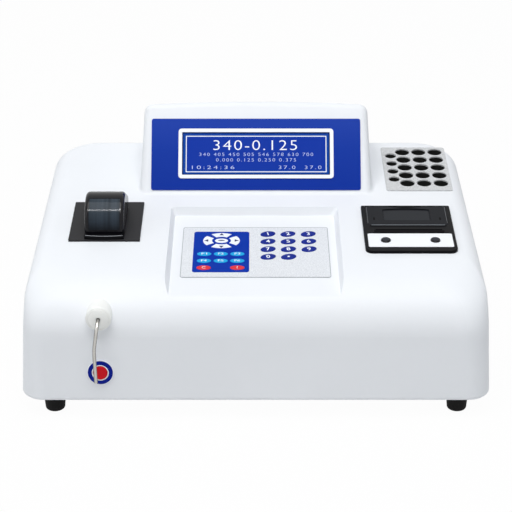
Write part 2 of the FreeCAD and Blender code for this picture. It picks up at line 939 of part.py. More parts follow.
def halogen_lamp():
    centre = lamp_house_start + lamp_house_length / 2
    floor = bench_top + 8
    base = cylinder(reader_x, centre, floor, lamp_bore - 0.3, 6.0)
    neck = cylinder(reader_x, centre, floor + 6, 3.5, 3.0)
    bulb_low = floor + 9
    bulb = cylinder(reader_x, centre, bulb_low, lamp_radius, lamp_length - lamp_radius)
    tip = Part.makeSphere(lamp_radius, V(reader_x, centre, bulb_low + lamp_length - lamp_radius))
    return joined([base, neck, bulb, tip])


def detector_board():
    half = holder_width / 2
    board = plate(reader_x - half, reader_x + half, detector_y, detector_y + board_thick,
                  bench_top, holder_top - 6)
    foot = plate(reader_x - half + 3, reader_x + half - 3, detector_y - 6, detector_y,
                 bench_top, bench_top + 6)
    eye = cylinder_y(reader_x, detector_y + board_thick, optic_z, 4.5,
                     cell_y - holder_length / 2 - gap - detector_y - board_thick)
    return joined([board, foot, eye])


# Tube rack
def wells():
    """Centre and diameter of each well, seen from above."""
    places = []
    for row in range(well_rows):
        for column in range(well_columns):
            u = well_first_u + row * well_pitch_u
            places.append((well_first_x + column * well_pitch_x, u * cos(deck_slope), well_diameter))
    for row in range(small_well_rows):
        u = well_first_u + (row + 0.5) * well_pitch_u
        places.append((small_well_x, u * cos(deck_slope), small_well_diameter))
    return places


def well_bores(low):
    top = deck_z(body_depth) + wall
    return [cylinder(x, y, low, size / 2, top - low) for x, y, size in wells()]


def rack_plate():
    skin = plate(rack_left, rack_left + rack_width, rack_start, rack_start + rack_length,
                 0, rack_plate_thick, 3.0)
    return on_deck(skin).cut(well_bores(block_bottom))


def incubator_block():
    left = rack_left + rack_margin
    right = rack_left + rack_width - rack_margin
    front = (rack_start + rack_margin) * cos(deck_slope) + wall * sin(deck_slope)
    back = (rack_start + rack_length - rack_margin) * cos(deck_slope)
    corners = [(front, block_bottom), (back, block_bottom), (back, deck_z(back)), (front, deck_z(front))]
    block = side_prism(corners, 0.0, left, right)
    return block.cut(well_bores(well_bottom))


def heater_pad():
    left = rack_left + rack_margin + 3
    right = rack_left + rack_width - rack_margin - 3
    front = (rack_start + rack_margin) * cos(deck_slope) + 3
    back = (rack_start + rack_length - rack_margin) * cos(deck_slope) - 3
    return plate(left, right, front, back, block_bottom - heater_thick, block_bottom, 3.0)


# Printer
def printer_bezel():
    half = bezel_width / 2
    end = bezel_start + bezel_length
    corner = bezel_corner
    body = prism(rectangle(printer_x - half, printer_x + half, bezel_start, end), [corner, corner, 1.5, 1.5],
                 0, bezel_thick)
    top_edges = [e for e in body.Edges if e.BoundBox.ZMin > bezel_thick - 0.01]
    body = body.makeFillet(0.8, top_edges)
    ridge = plate(printer_x - lid_half_width + 2, printer_x + lid_half_width - 2,
                  lid_start - 3.6, lid_start - 2.5, bezel_thick - 0.1, bezel_thick + 0.6)
    body = joined([body, ridge])
    opening = lid_half_width + 0.4
    cuts = [plate(printer_x - opening, printer_x + opening, lid_start - 2.1, lid_end + 0.4, -1, 4, 0.5)]
    cuts.append(plate(printer_x - slot_half_length, printer_x + slot_half_length, slot_start,
                      slot_start + slot_width, -1, 4, 0.5))
    strip_half = strip_width / 2 + slot_gap / 2
    cuts.append(plate(printer_x - strip_half, printer_x + strip_half, strip_start - slot_gap / 2,
                      strip_start + strip_length + slot_gap / 2, bezel_thick - strip_recess, 4, 1.5))
    for side in (-1, 1):
        cuts.append(cylinder(printer_x + side * button_dx, button_u, -1, button_radius + slot_gap, 6))
    reach = lid_half_width + lid_pin_reach + 0.3
    cuts.append(cylinder_x(printer_x - reach, lid_start, bezel_thick / 2, lid_pin_radius + slip, 2 * reach))
    return on_deck(body.cut(cuts))


def printer_lid():
    axis_w = bezel_thick / 2
    low = axis_w - lid_thick / 2
    high = axis_w + lid_thick / 2
    left = printer_x - lid_half_width
    width = 2 * lid_half_width
    panel = plate(left, left + width, lid_start, lid_end, low, high, [0.0, 0.0, 1.0, 1.0])
    barrel = cylinder_x(left, lid_start, axis_w, lid_thick / 2, width)
    pins = cylinder_x(left - lid_pin_reach, lid_start, axis_w, lid_pin_radius, width + 2 * lid_pin_reach)
    lid = joined([panel, barrel, pins])
    grip_low = high - grip_depth
    grip = plate(printer_x - grip_half, printer_x + grip_half, grip_start, grip_end, grip_low, high + 1, 0.8)
    crest_radius = (grip_half ** 2 + grip_crest ** 2) / (2 * grip_crest)
    crest = cylinder(printer_x, grip_end + grip_crest - crest_radius, grip_low, crest_radius, grip_depth + 1)
    crest = crest.common(plate(printer_x - grip_half, printer_x + grip_half,
                               grip_end - 1, lid_end, grip_low, high + 1))
    cuts = [grip.fuse(crest), cylinder(printer_x, lid_end + notch_bow - notch_depth, -1, notch_bow, 8)]
    for side in (-1, 1):
        x = printer_x + side * 29.5
        cuts.append(plate(x - 0.7, x + 0.7, lid_start + 8, lid_start + 12, high - 1, high + 1, 0.4))
    return on_deck(lid.cut(cuts))


def tear_bar():
    half = slot_half_length + 1.5
    corners = [(slot_start - 2.6, bezel_thick), (slot_start - 0.3, bezel_thick),
               (slot_start - 0.3, bezel_thick + 1.0), (slot_start - 2.6, bezel_thick + 0.4)]
    return on_deck(side_prism(corners, 0.0, printer_x - half, printer_x + half))


def printer_strip():
    half = strip_width / 2
    low = bezel_thick - strip_recess
    film = plate(printer_x - half, printer_x + half, strip_start, strip_start + strip_length, low,
                 low + strip_thick, 1.5)
    holes = [cylinder(printer_x + side * button_dx, button_u, 0, button_radius + slot_gap, 6)
             for side in (-1, 1)]
    return on_deck(film.cut(holes))


def push_button(side):
    x = printer_x + side * button_dx
    high = bezel_thick + button_rise
    cap = cylinder(x, button_u, -3, button_radius, high + 3)
    rims = [e for e in cap.Edges if e.BoundBox.ZMin > high - 0.01]
    cap = cap.makeFillet(0.7, rims)
    collar = cylinder(x, button_u, -2, button_radius + 1.3, 1.6)
    return on_deck(joined([cap, collar]))


def printer_tray():
    left = printer_x - tray_half_width
    right = printer_x + tray_half_width
    outer = [(tray_start, -tray_shelf), (tray_step, -tray_shelf), (tray_step, -tray_depth),
             (tray_end, -tray_depth), (tray_end, 0), (tray_start, 0)]
    t = tray_wall
    inner = [(tray_start + t, -tray_shelf + t), (tray_step + t, -tray_shelf + t),
             (tray_step + t, -tray_depth + t),
             (tray_end - t, -tray_depth + t), (tray_end - t, 1), (tray_start + t, 1)]
    bucket = side_prism(outer, [0.0, 0.0, 8.0, 8.0, 0.0, 0.0], left, right)
    bucket = bucket.cut(side_prism(inner, [0.0, 0.0, 8.0 - t, 8.0 - t, 0.0, 0.0], left + t, right - t))
    low = -tray_shelf + t
    seats = []
    for side in (-1, 1):
        x = printer_x + side * button_dx
        seats.append(plate(x - 3, x + 3, button_u - 3, button_u + 3, low, -3 - button_travel - gap, 0.5))
    bucket = joined([bucket] + seats)
    journal = cylinder_x(left - 1, platen_u, platen_w, platen_journal_radius + slip, 2 * tray_half_width + 2)
    return on_deck(bucket.cut(journal))


def platen_roller():
    half = paper_width / 2
    reach = tray_half_width - 0.5
    sleeve = cylinder_x(printer_x - half, platen_u, platen_w, platen_radius, paper_width)
    shaft = cylinder_x(printer_x - reach, platen_u, platen_w, platen_journal_radius, 2 * reach)
    return on_deck(joined([sleeve, shaft]))


def print_head():
    half = paper_width / 2 - 1.5
    high = platen_w - platen_radius - gap
    front = tray_step + tray_wall
    return on_deck(plate(printer_x - half, printer_x + half, front, front + 6.5,
                         high - head_height, high, 0.5))


def paper_roll():
    half = paper_width / 2
    u = tray_end - tray_wall - roll_radius - 1
    w = -tray_depth + tray_wall + roll_radius
    roll = cylinder_x(printer_x - half, u, w, roll_radius, paper_width)
    return on_deck(roll.cut(cylinder_x(printer_x - half - 1, u, w, roll_core_radius, paper_width + 2)))


# Front: sipper and aspirate button
def sipper_boss():
    """Round boss whose back follows the rounded front of the housing."""
    head = cylinder(sipper_x, sipper_up, -boss_neck, boss_radius, boss_neck + boss_reach)
    rims = [e for e in head.Edges if e.BoundBox.ZMin > boss_reach - 0.01]
    head = on_front(head.makeFillet(1.8, rims)).cut(body_form(0.0, 0.0))
    neck = on_front(cylinder(sipper_x, sipper_up, -boss_neck, boss_neck_radius, boss_neck))
    bore = on_front(cylinder(sipper_x, sipper_up, -2 * boss_neck, sipper_radius + slip, 3 * boss_neck))
    return joined([head, neck]).cut(bore)


def sipper_tube():
    """Steel tube: straight through the boss, then bent down and slightly to the left."""
    points = [front_point(sipper_x, sipper_up, -sipper_inside), front_point(sipper_x, sipper_up, sipper_out),
              front_point(sipper_x + sipper_drift, sipper_up - sipper_drop * 0.45, sipper_out + 0.6),
              front_point(sipper_x + sipper_drift * 0.8, sipper_up - sipper_drop, sipper_out)]
    return pipe(points, [sipper_bend, 60.0], sipper_radius, sipper_bore)


def aspirate_bezel():
    flange = cylinder(aspirate_x, aspirate_up, 0, aspirate_flange_radius, aspirate_flange_thick)
    neck_low = -wall - 4
    neck = cylinder(aspirate_x, aspirate_up, neck_low, aspirate_neck_radius, -neck_low)
    arms = []
    for side in (-1, 1):
        x = aspirate_x + side * (aspirate_arm + 0.45)
        arms.append(plate(x - 0.45, x + 0.45, aspirate_up - 3, aspirate_up + 3, neck_low - 12, neck_low + 1))
    bore = cylinder(aspirate_x, aspirate_up, -30, aspirate_radius + gap, 40)
    return on_front(joined([flange, neck] + arms).cut(bore))


def aspirate_ring():
    ring = cylinder(aspirate_x, aspirate_up, aspirate_flange_thick, ring_outer_radius, ring_thick)
    hole = cylinder(aspirate_x, aspirate_up, 0, ring_inner_radius, 5)
    return on_front(ring.cut(hole))


def aspirate_button():
    low = -wall - 4
    cap = cylinder(aspirate_x, aspirate_up, low, aspirate_radius, aspirate_rise - low)
    rims = [e for e in cap.Edges if e.BoundBox.ZMin > aspirate_rise - 0.01]
    cap = cap.makeFillet(0.8, rims)
    collar = cylinder(aspirate_x, aspirate_up, low - aspirate_collar, aspirate_arm - slot_gap,
                      aspirate_collar)
    return on_front(joined([cap, collar]))


def aspirate_switch():
    high = -wall - 4 - aspirate_collar - aspirate_travel - gap
    half = aspirate_arm
    body = plate(aspirate_x - half, aspirate_x + half, aspirate_up - 3, aspirate_up + 3, high - 8, high - 1)
    plunger = plate(aspirate_x - 1.5, aspirate_x + 1.5, aspirate_up - 1.5, aspirate_up + 1.5, high - 1, high)
    return on_front(joined([body, plunger]))


# Pump
def pump_head():
    half = pump_width / 2
    block = plate(pump_x - half, pump_x + half, pump_y, pump_y + pump_length,
                  foot_height + sheet, pump_top, 2.0)
    track = tube_orbit + tube_radius + gap
    deep = pump_length - pump_back_wall
    cuts = [cylinder_y(pump_x, pump_y - 1, pump_z, track, deep + 1),
            plate(pump_x - track, pump_x + track, pump_y - 1, pump_y + deep, pump_z, pump_top + 1),
            cylinder_y(pump_x, pump_y, pump_z, pump_shaft_radius + 0.5, pump_length + 1)]
    return block.cut(cuts)


def roller_places():
    places = []
    for i in range(roller_count):
        angle = 90 + i * 360.0 / roller_count
        places.append((pump_x + roller_orbit * cos(angle), pump_z + roller_orbit * sin(angle)))
    return places


def pump_rotor():
    back = pump_y + pump_length - pump_back_wall - gap
    front = pump_y + 0.4
    discs = [cylinder_y(pump_x, front, pump_z, rotor_radius, rotor_disc),
             cylinder_y(pump_x, back - rotor_disc, pump_z, rotor_radius, rotor_disc),
             cylinder_y(pump_x, front, pump_z, 6.0, back - front)]
    pins = [cylinder_y(x, front + 0.5, z, roller_pin_radius, back - front - 1) for x, z in roller_places()]
    bore = cylinder_y(pump_x, front + rotor_disc, pump_z, pump_shaft_radius + slip, back)
    return joined(discs + pins).cut(bore)


def pump_roller(place):
    x, z = place
    back = pump_y + pump_length - pump_back_wall - gap
    front = pump_y + 0.4
    low = front + rotor_disc + slot_gap
    length = back - front - 2 * rotor_disc - 2 * slot_gap
    sleeve = cylinder_y(x, low, z, roller_radius, length)
    return sleeve.cut(cylinder_y(x, low - 1, z, roller_pin_radius + slip, length + 2))


def pump_motor():
    back = pump_y + pump_length
    can = cylinder_y(pump_x, back, pump_z, pump_motor_radius, pump_motor_length)
    rims = [e for e in can.Edges if e.BoundBox.YMin > back + pump_motor_length - 0.01]
    can = can.makeFillet(2.0, rims)
    boss = cylinder_y(pump_x, back + pump_motor_length - 1, pump_z, 6.0, 4.0)
    nose = pump_y + 0.4 + rotor_disc + 0.5
    shaft = cylinder_y(pump_x, nose, pump_z, pump_shaft_radius, back - nose)
    return joined([can, boss, shaft])


def tube_plane():
    """How far back the soft tubing runs in the pump head."""
    return pump_y + (pump_length - pump_back_wall) / 2


def pump_tube():
    """Soft tubing from the flow cell round under the pump's rollers and back to the waste port."""
    y = tube_plane()
    left = pump_x - tube_orbit
    right = pump_x + tube_orbit
    port_y = body_depth - wall - sheet - 8
    low = pump_z - tube_orbit
    cell_face = reader_x + cell_side / 2
    points = [V(cell_face, cell_y, cell_port_z), V(left, cell_y, cell_port_z), V(left, y, pump_tube_top),
              V(left, y, low), V(right, y, low), V(right, y, pump_tube_top), V(right, port_y, pump_tube_top)]
    return pipe(points, [16.0, 10.0, tube_orbit - 0.01, tube_orbit - 0.01, 10.0], tube_radius, tube_bore)


def sample_tube():
    """Soft tubing from the steel sipper to the front of the flow cell."""
    start = front_point(sipper_x, sipper_up, -sipper_inside)
    second = front_point(sipper_x, sipper_up, -sipper_inside - 20)
    end = V(reader_x, cell_y - cell_side / 2, cell_port_z)
    points = [start, second, V(reader_x, end.y - 22, cell_port_z), end]
    return pipe(points, [22.0, 22.0], tube_radius, tube_bore)


# Base and rear
def foot_places():
    return [(x, y) for x in (-foot_x, foot_x) for y in (foot_front_y, foot_rear_y)]


def chassis():
    inset = wall + gap
    top = foot_height + tray_flange
    low = foot_height
    rear = body_depth - wall - sheet - gap
    across = half_width(top, inset)
    front = front_y(top, inset)
    corner = front_corner - inset
    rear_fit = rear_corner - inset
    outer = prism(rectangle(-across, across, front, rear), [corner, corner, rear_fit, rear_fit], low, top)
    radii = [corner - sheet, corner - sheet, rear_fit - sheet, rear_fit - sheet]
    inner = prism(rectangle(-across + sheet, across - sheet, front + sheet, rear - sheet), radii,
                  low + sheet, top + 1)
    pan = outer.cut(inner)
    holes = []
    for x, y in foot_places():
        holes.append(cylinder(x, y, low - 1, foot_screw_radius + slip, sheet + 2))
    posts = []
    for x in (board_left + 6, board_right - 6):
        for y in (board_start + 6, rear - 14):
            posts.append(cylinder(x, y, low + sheet, 3.5, board_z - low - sheet))
    for i in range(9):
        y = supply_start + 12 + i * 11.0
        holes.append(plate(supply_left + 14, supply_right - 14, y, y + 4, low - 1, low + sheet + 1, 1.9))
    return joined([pan] + posts).cut(holes)


def feet():
    profile = [(foot_screw_radius + slot_gap, foot_recess), (foot_screw_head_radius + 0.5, foot_recess),
               (foot_screw_head_radius + 0.5, 0), (foot_lower_radius, 0), (foot_radius, foot_height),
               (foot_screw_radius + slot_gap, foot_height)]
    face = Part.Face(outline(profile, [0.0, 0.0, 0.0, foot_bottom_round, 0.6, 0.0]))
    face.rotate(V(0, 0, 0), V(1, 0, 0), 90)
    turned = face.revolve(V(0, 0, 0), V(0, 0, 1), 360)
    placed = []
    for x, y in foot_places():
        foot = turned.copy()
        foot.translate(V(x, y, 0))
        placed.append(foot)
    return group(placed)


def foot_screws():
    screws = []
    low = foot_recess - foot_screw_head
    for x, y in foot_places():
        head = cylinder(x, y, low, foot_screw_head_radius, foot_screw_head)
        shank = cylinder(x, y, foot_recess, foot_screw_radius, foot_screw_length)
        slot = plate(x - 0.5, x + 0.5, y - 5, y + 5, low - 1, low + 0.9)
        screws.append(joined([head, shank]).cut(slot))
    return group(screws)


def fan_guard():
    """Ring-shaped slots of the guard over the fan, with a cross of webs left between them."""
    slots = []
    y = body_depth - wall - 2 * sheet
    for i in range(4):
        outer = fan_bore - 1 - i * 6.4
        ring = cylinder_y(fan_x, y, fan_z, outer, 3 * sheet)
        ring = ring.cut(cylinder_y(fan_x, y - 1, fan_z, outer - 4.2, 3 * sheet + 2))
        for angle in (45, 135):
            web = Part.makeBox(3.0, 4 * sheet, fan_side, V(-1.5, y - 1, -fan_side / 2))
            web.rotate(V(0, 0, 0), V(0, 1, 0), angle)
            web.translate(V(fan_x, 0, fan_z))
            ring = ring.cut(web)
        slots += ring.Solids
    return slots


def rear_panel():
    half = rear_opening_half_width + rear_panel_margin
    back = body_depth - wall
    top = rear_opening_top + rear_panel_margin - 4
    skin = front_prism(rectangle(-half, half, foot_height + 0.5, top), 3.0, back - sheet, back)
    cuts = fan_guard()
    front = back - 2 * sheet
    deep = back + sheet
    inlet_half = inlet_body_width / 2 + slot_gap
    inlet_tall = inlet_body_height / 2 + slot_gap
    cuts.append(front_prism(rectangle(inlet_x - inlet_half, inlet_x + inlet_half, inlet_z - inlet_tall,
                                      inlet_z + inlet_tall), 1.0, front, deep))
    port_half = port_width / 2 - 6
    port_low = board_z + board_thick + 1
    cuts.append(front_prism(rectangle(port_x - port_half - slot_gap, port_x + port_half + slot_gap, port_low,
                                      port_low + port_height - 2), 1.0, front, deep))
    cuts.append(cylinder_y(waste_x, front, pump_tube_top, 4.2, 3 * sheet))
    for i in range(8):
        x = -70 + i * 9.0
        cuts.append(front_prism(rectangle(x, x + 3.5, 62, 78), 1.7, front, deep))
    for x, z in rear_screw_places():
        cuts.append(cylinder_y(x, front, z, rear_screw_radius + slip, 3 * sheet))
    return skin.cut(cuts)


def rear_screws():
    screws = []
    for x, z in rear_screw_places():
        head = cylinder_y(x, body_depth, z, rear_screw_head_radius, rear_screw_head)
        rims = [e for e in head.Edges if e.BoundBox.YMin > body_depth + rear_screw_head - 0.01]
        head = head.makeFillet(0.9, rims)
        shank = cylinder_y(x, body_depth - 9, z, rear_screw_radius, 9)
        crest = body_depth + rear_screw_head
        slot = plate(x - 0.4, x + 0.4, crest - 0.9, crest + 1, z - 4, z + 4)
        screws.append(joined([head, shank]).cut(slot))
    return group(screws)


def fan_back():
    return body_depth - wall - sheet


def fan_frame():
    back = fan_back()
    front = back - fan_thick
    half = fan_side / 2
    frame = front_prism(rectangle(fan_x - half, fan_x + half, fan_z - half, fan_z + half), 5.0, front, back)
    frame = frame.cut(cylinder_y(fan_x, front - 1, fan_z, fan_bore, fan_thick + 2))
    centre = cylinder_y(fan_x, back - fan_strut, fan_z, fan_hub_radius, fan_strut)
    pin = cylinder_y(fan_x, front + 2, fan_z, 2.0, fan_thick - fan_strut - 1)
    struts = []
    for i in range(4):
        strut = Part.makeBox(fan_bore + 1.5, fan_strut, 4.0, V(0, back - fan_strut, -2.0))
        strut.rotate(V(0, 0, 0), V(0, 1, 0), 45 + 90 * i)
        strut.translate(V(fan_x, 0, fan_z))
        struts.append(strut)
    solid = joined([frame, centre, pin] + struts)
    holes = []
    for dx in (-1, 1):
        for dz in (-1, 1):
            holes.append(cylinder_y(fan_x + dx * 25, front - 1, fan_z + dz * 25, 2.1, fan_thick + 2))
    return solid.cut(holes)


def fan_rotor():
    back = fan_back() - fan_strut - 0.5
    front = fan_back() - fan_thick + 1
    length = back - front
    hub = cylinder_y(fan_x, front, fan_z, fan_hub_radius, length)
    blades = []
    for i in range(fan_blades):
        blade = Part.makeBox(fan_bore - 1 - fan_hub_radius + 2, 1.4, 12.0, V(fan_hub_radius - 2, -0.7, -6.0))
        blade.rotate(V(0, 0, 0), V(1, 0, 0), 50)
        blade.rotate(V(0, 0, 0), V(0, 1, 0), i * 360.0 / fan_blades)
        blade.translate(V(fan_x, (front + back) / 2, fan_z))
        blades.append(blade)
    solid = joined([hub] + blades)
    sweep = cylinder_y(fan_x, front, fan_z, fan_bore - 0.8, length)
    bore = cylinder_y(fan_x, front + 1, fan_z, 2.0 + slip, length)
    return solid.common(sweep).cut(bore)


def power_inlet():
    back = body_depth - wall
    half = inlet_width / 2
    tall = inlet_height / 2
    flange = front_prism(rectangle(inlet_x - half, inlet_x + half, inlet_z - tall, inlet_z + tall), 3.0,
                         back, back + inlet_flange)
    half = inlet_body_width / 2
    tall = inlet_body_height / 2
    body = front_prism(rectangle(inlet_x - half, inlet_x + half, inlet_z - tall, inlet_z + tall), 1.0,
                       back - inlet_depth, back + 1)
    face = back + inlet_flange
    centre = inlet_x + socket_offset
    wide = socket_width / 2
    high = socket_height / 2
    mouth = [(centre - wide, inlet_z - high), (centre + wide, inlet_z - high),
             (centre + wide, inlet_z + high - 4), (centre + wide - 4, inlet_z + high),
             (centre - wide + 4, inlet_z + high), (centre - wide, inlet_z + high - 4)]
    socket = front_prism(mouth, 0.8, face - socket_depth, face + 1)
    pins = []
    for dx, dz in ((0.0, 3.0), (-7.0, -2.0), (7.0, -2.0)):
        blade = rectangle(centre + dx - 1, centre + dx + 1, inlet_z + dz - 2, inlet_z + dz + 2)
        pins.append(front_prism(blade, 0.4, face - socket_depth - 1, face - socket_depth + pin_length))
    wide = rocker_width / 2 + 0.4
    high = rocker_length / 2 + 1.0
    well = front_prism(rectangle(inlet_x + rocker_offset - wide, inlet_x + rocker_offset + wide,
                                 inlet_z - high, inlet_z + high), 0.5, face - 12, face + 1)
    x = inlet_x + rocker_offset - wide - 1.2
    axle = cylinder_x(x, face - 4, inlet_z, 1.2, 2 * wide + 2.4)
    solid = joined([flange, body]).cut([socket, well])
    return joined([solid, axle] + pins)


def power_rocker():
    """Rocker of the mains switch, at rest with its lower end pressed in."""
    face = body_depth - wall + inlet_flange
    pivot_y = face - 4
    half = rocker_length / 2
    corners = [(pivot_y - 3.0, -half + 3.5), (pivot_y + 4.6, -half), (pivot_y + 3.4, 0),
               (pivot_y + 4.6, half), (pivot_y - 3.0, half - 3.5)]
    corners = [(y, z + inlet_z) for y, z in corners]
    left = inlet_x + rocker_offset - rocker_width / 2
    shape = side_prism(corners, 0.3, left, left + rocker_width)
    shape = shape.cut(cylinder_x(left - 1, pivot_y, inlet_z, 1.2 + slip, rocker_width + 2))
    shape.rotate(V(0, pivot_y, inlet_z), V(1, 0, 0), -rocker_throw)
    return shape


def serial_port():
    back = body_depth - wall
    low = board_z + board_thick
    half = port_width / 2
    body = plate(port_x - half, port_x + half, back - sheet - gap - 10, back - sheet - gap,
                 low, low + port_height)
    inner = half - 6
    rim = rectangle(port_x - inner, port_x + inner, low + 1 + slot_gap, low + port_height - 1 - slot_gap)
    shell = front_prism(rim, 2.0, back - sheet - gap - 1, back + port_reach)
    mouth = rectangle(port_x - inner + 1, port_x + inner - 1, low + 2.2, low + port_height - 2.2)
    hollow = front_prism(mouth, 1.2, back - sheet, back + port_reach + 1)
    solid = joined([body, shell]).cut(hollow)
    pins = []
    for i in range(5):
        x = port_x + (i - 2) * 2.8
        pins.append(cylinder_y(x, back - sheet - 1, low + port_height / 2 + 1.4, 0.5, port_reach))
    for i in range(4):
        x = port_x + (i - 1.5) * 2.8
        pins.append(cylinder_y(x, back - sheet - 1, low + port_height / 2 - 1.4, 0.5, port_reach))
    return joined([solid] + pins)


def waste_port():
    back = body_depth - wall
    flange = cylinder_y(waste_x, back, pump_tube_top, 7.0, 2.5)
    neck = cylinder_y(waste_x, back - sheet - 8, pump_tube_top, 4.0, sheet + 8)
    stem = cylinder_y(waste_x, back, pump_tube_top, 2.6, waste_reach)
    barbs = []
    for i in range(3):
        y = back + waste_reach - 3.5 - i * 3.5
        barbs.append(Part.makeCone(3.4, 2.7, 3.2, V(waste_x, y, pump_tube_top), V(0, 1, 0)))
    bore = cylinder_y(waste_x, back - 12, pump_tube_top, 1.4, 30)
    return joined([flange, neck, stem] + barbs).cut(bore)


# Electronics
def main_board():
    back = body_depth - wall - sheet - gap
    top = board_z + board_thick
    board = plate(board_left, board_right, board_start, back - 1, board_z, top, 2.0)
    chips = [plate(-20, 4, 150, 174, top, top + 2.2), plate(16, 30, 152, 166, top, top + 1.8),
             plate(-36, -16, 196, 206, top, top + 2.0), plate(36, 52, 180, 192, top, top + 10)]
    for i in range(4):
        y = 214 + i * 13.0
        chips.append(plate(30, 36, y, y + 9, top, top + 7))
    for i in range(3):
        chips.append(cylinder(-34 + i * 12.0, 232, top, 4.0, 11.0))
    return joined([board] + chips)


def power_supply():
    low = foot_height + sheet
    case = plate(supply_left, supply_right, supply_start, supply_end, low, low + supply_height, 1.0)
    cuts = []
    for i in range(8):
        for j in range(4):
            x = supply_left + 12 + j * 17.0
            y = supply_start + 14 + i * 11.0
            cuts.append(plate(x, x + 11, y, y + 4, low + supply_height - 2, low + supply_height + 1, 1.9))
    cuts.append(plate(supply_left + 6, supply_right - 6, supply_end - 10, supply_end + 1, low + 12,
                      low + supply_height + 1))
    terminals = []
    for i in range(6):
        x = supply_left + 12 + i * 11.5
        terminals.append(plate(x, x + 9, supply_end - 9, supply_end - 1, low + 11, low + 22))
    return case.cut(cuts).fuse(terminals).removeSplitter()


nodes = {
    "upper_housing": upper_housing(),
    "display_fascia": display_fascia(),
    "display_frame": display_frame(),
    "display_glass": display_glass(),
    "display_board": display_board(),
    "keypad_overlay": keypad_overlay(),
    "reader_plate": reader_plate(),
    "reader_collar": reader_collar(),
    "reader_cover": reader_cover(),
    "reader_shield": reader_shield(),
    "reader_hinge_pin": reader_hinge_pin(),
    "optical_bench": optical_bench(),
    "cell_holder": cell_holder(),
    "flow_cell": flow_cell(),
    "filter_wheel": filter_wheel(),
    "filter_glasses": filter_glasses(),
    "filter_motor": filter_motor(),
    "lamp_house": lamp_house(),
    "halogen_lamp": halogen_lamp(),
    "detector_board": detector_board(),
    "rack_plate": rack_plate(),
    "incubator_block": incubator_block(),
    "heater_pad": heater_pad(),
    "printer_bezel": printer_bezel(),
    "printer_lid": printer_lid(),
    "tear_bar": tear_bar(),
    "printer_strip": printer_strip(),
    "feed_button": push_button(-1),
    "select_button": push_button(1),
    "printer_tray": printer_tray(),
    "platen_roller": platen_roller(),
    "print_head": print_head(),
    "paper_roll": paper_roll(),
    "sipper_boss": sipper_boss(),
    "sipper_tube": sipper_tube(),
    "aspirate_bezel": aspirate_bezel(),
    "aspirate_ring": aspirate_ring(),
    "aspirate_button": aspirate_button(),
    "aspirate_switch": aspirate_switch(),
    "pump_head": pump_head(),
    "pump_rotor": pump_rotor(),
    "pump_motor": pump_motor(),
    "pump_tube": pump_tube(),
    "sample_tube": sample_tube(),
    "chassis": chassis(),
    "feet": feet(),
    "foot_screws": foot_screws(),
    "rear_panel": rear_panel(),
    "rear_screws": rear_screws(),
    "fan_frame": fan_frame(),
    "fan_rotor": fan_rotor(),
    "power_inlet": power_inlet(),
    "power_rocker": power_rocker(),
    "serial_port": serial_port(),
    "waste_port": waste_port(),
    "main_board": main_board(),
    "power_supply": power_supply(),
}
for number, place in enumerate(roller_places(), start=1):
    nodes["pump_roller_%d" % number] = pump_roller(place)

# The whole stands on the table with the middle of its depth at the origin.
frontmost = nodes["sipper_tube"].BoundBox.YMin
rearmost = nodes["waste_port"].BoundBox.YMax
centring = V(0, -(frontmost + rearmost) / 2, 0)

os.makedirs("parts", exist_ok=True)
for name, shape in nodes.items():
    shape.translate(centring)
    shape.exportStep("parts/%s.step" % name)
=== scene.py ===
import math

import bpy
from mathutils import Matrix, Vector


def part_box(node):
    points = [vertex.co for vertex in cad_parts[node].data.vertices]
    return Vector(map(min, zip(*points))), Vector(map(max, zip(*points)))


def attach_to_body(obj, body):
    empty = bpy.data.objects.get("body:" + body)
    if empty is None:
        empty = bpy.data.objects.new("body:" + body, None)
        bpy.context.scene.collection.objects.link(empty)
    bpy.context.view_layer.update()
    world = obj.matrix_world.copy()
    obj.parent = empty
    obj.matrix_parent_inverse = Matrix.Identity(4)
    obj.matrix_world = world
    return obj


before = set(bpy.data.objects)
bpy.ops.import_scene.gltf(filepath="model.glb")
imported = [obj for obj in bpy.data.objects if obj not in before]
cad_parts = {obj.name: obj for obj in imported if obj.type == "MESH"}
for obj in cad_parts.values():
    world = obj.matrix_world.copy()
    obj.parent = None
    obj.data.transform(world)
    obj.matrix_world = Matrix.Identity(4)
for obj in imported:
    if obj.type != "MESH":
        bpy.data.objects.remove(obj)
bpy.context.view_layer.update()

# Semi-automatic chemistry analyzer. Lengths in the helpers below are millimetres, as in the
# part's own source, and the finished pieces are in metres in the row's frame.

# Sizes of the part's source that place the deck, the hood, the front and the keypad's film
DECK_SLOPE = 7.0
DECK_HEIGHT = 111.6
HOOD_LEAN = 33.0
HOOD_FOOT = 183.4
FRONT_LEAN = 1.5
FOOT_HEIGHT = 16.0
REAR_FACE = 291.0
FILM_TOP = -6.4

MM_PER_METRE = 1000
FULL_TURN = 360.0
RIGHT_ANGLE = 90.0

shift_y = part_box("rear_panel")[1].y * MM_PER_METRE - REAR_FACE


def sin(angle):
    return math.sin(math.radians(angle))


def cos(angle):
    return math.cos(math.radians(angle))


def to_row(x, y, z):
    """A point of the part's source in the row's frame."""
    return Vector((x, y + shift_y, z)) / MM_PER_METRE


def on_deck(x, u, w):
    """u runs up the deck from its front, and w stands on it."""
    y = u * cos(DECK_SLOPE) - w * sin(DECK_SLOPE)
    z = DECK_HEIGHT + u * sin(DECK_SLOPE) + w * cos(DECK_SLOPE)
    return to_row(x, y, z)


def on_hood(x, u, w):
    """u runs up the hood's face from its foot, and w stands on it."""
    base = DECK_HEIGHT + HOOD_FOOT * math.tan(math.radians(DECK_SLOPE))
    y = HOOD_FOOT + u * sin(HOOD_LEAN) - w * cos(HOOD_LEAN)
    z = base + u * cos(HOOD_LEAN) + w * sin(HOOD_LEAN)
    return to_row(x, y, z)


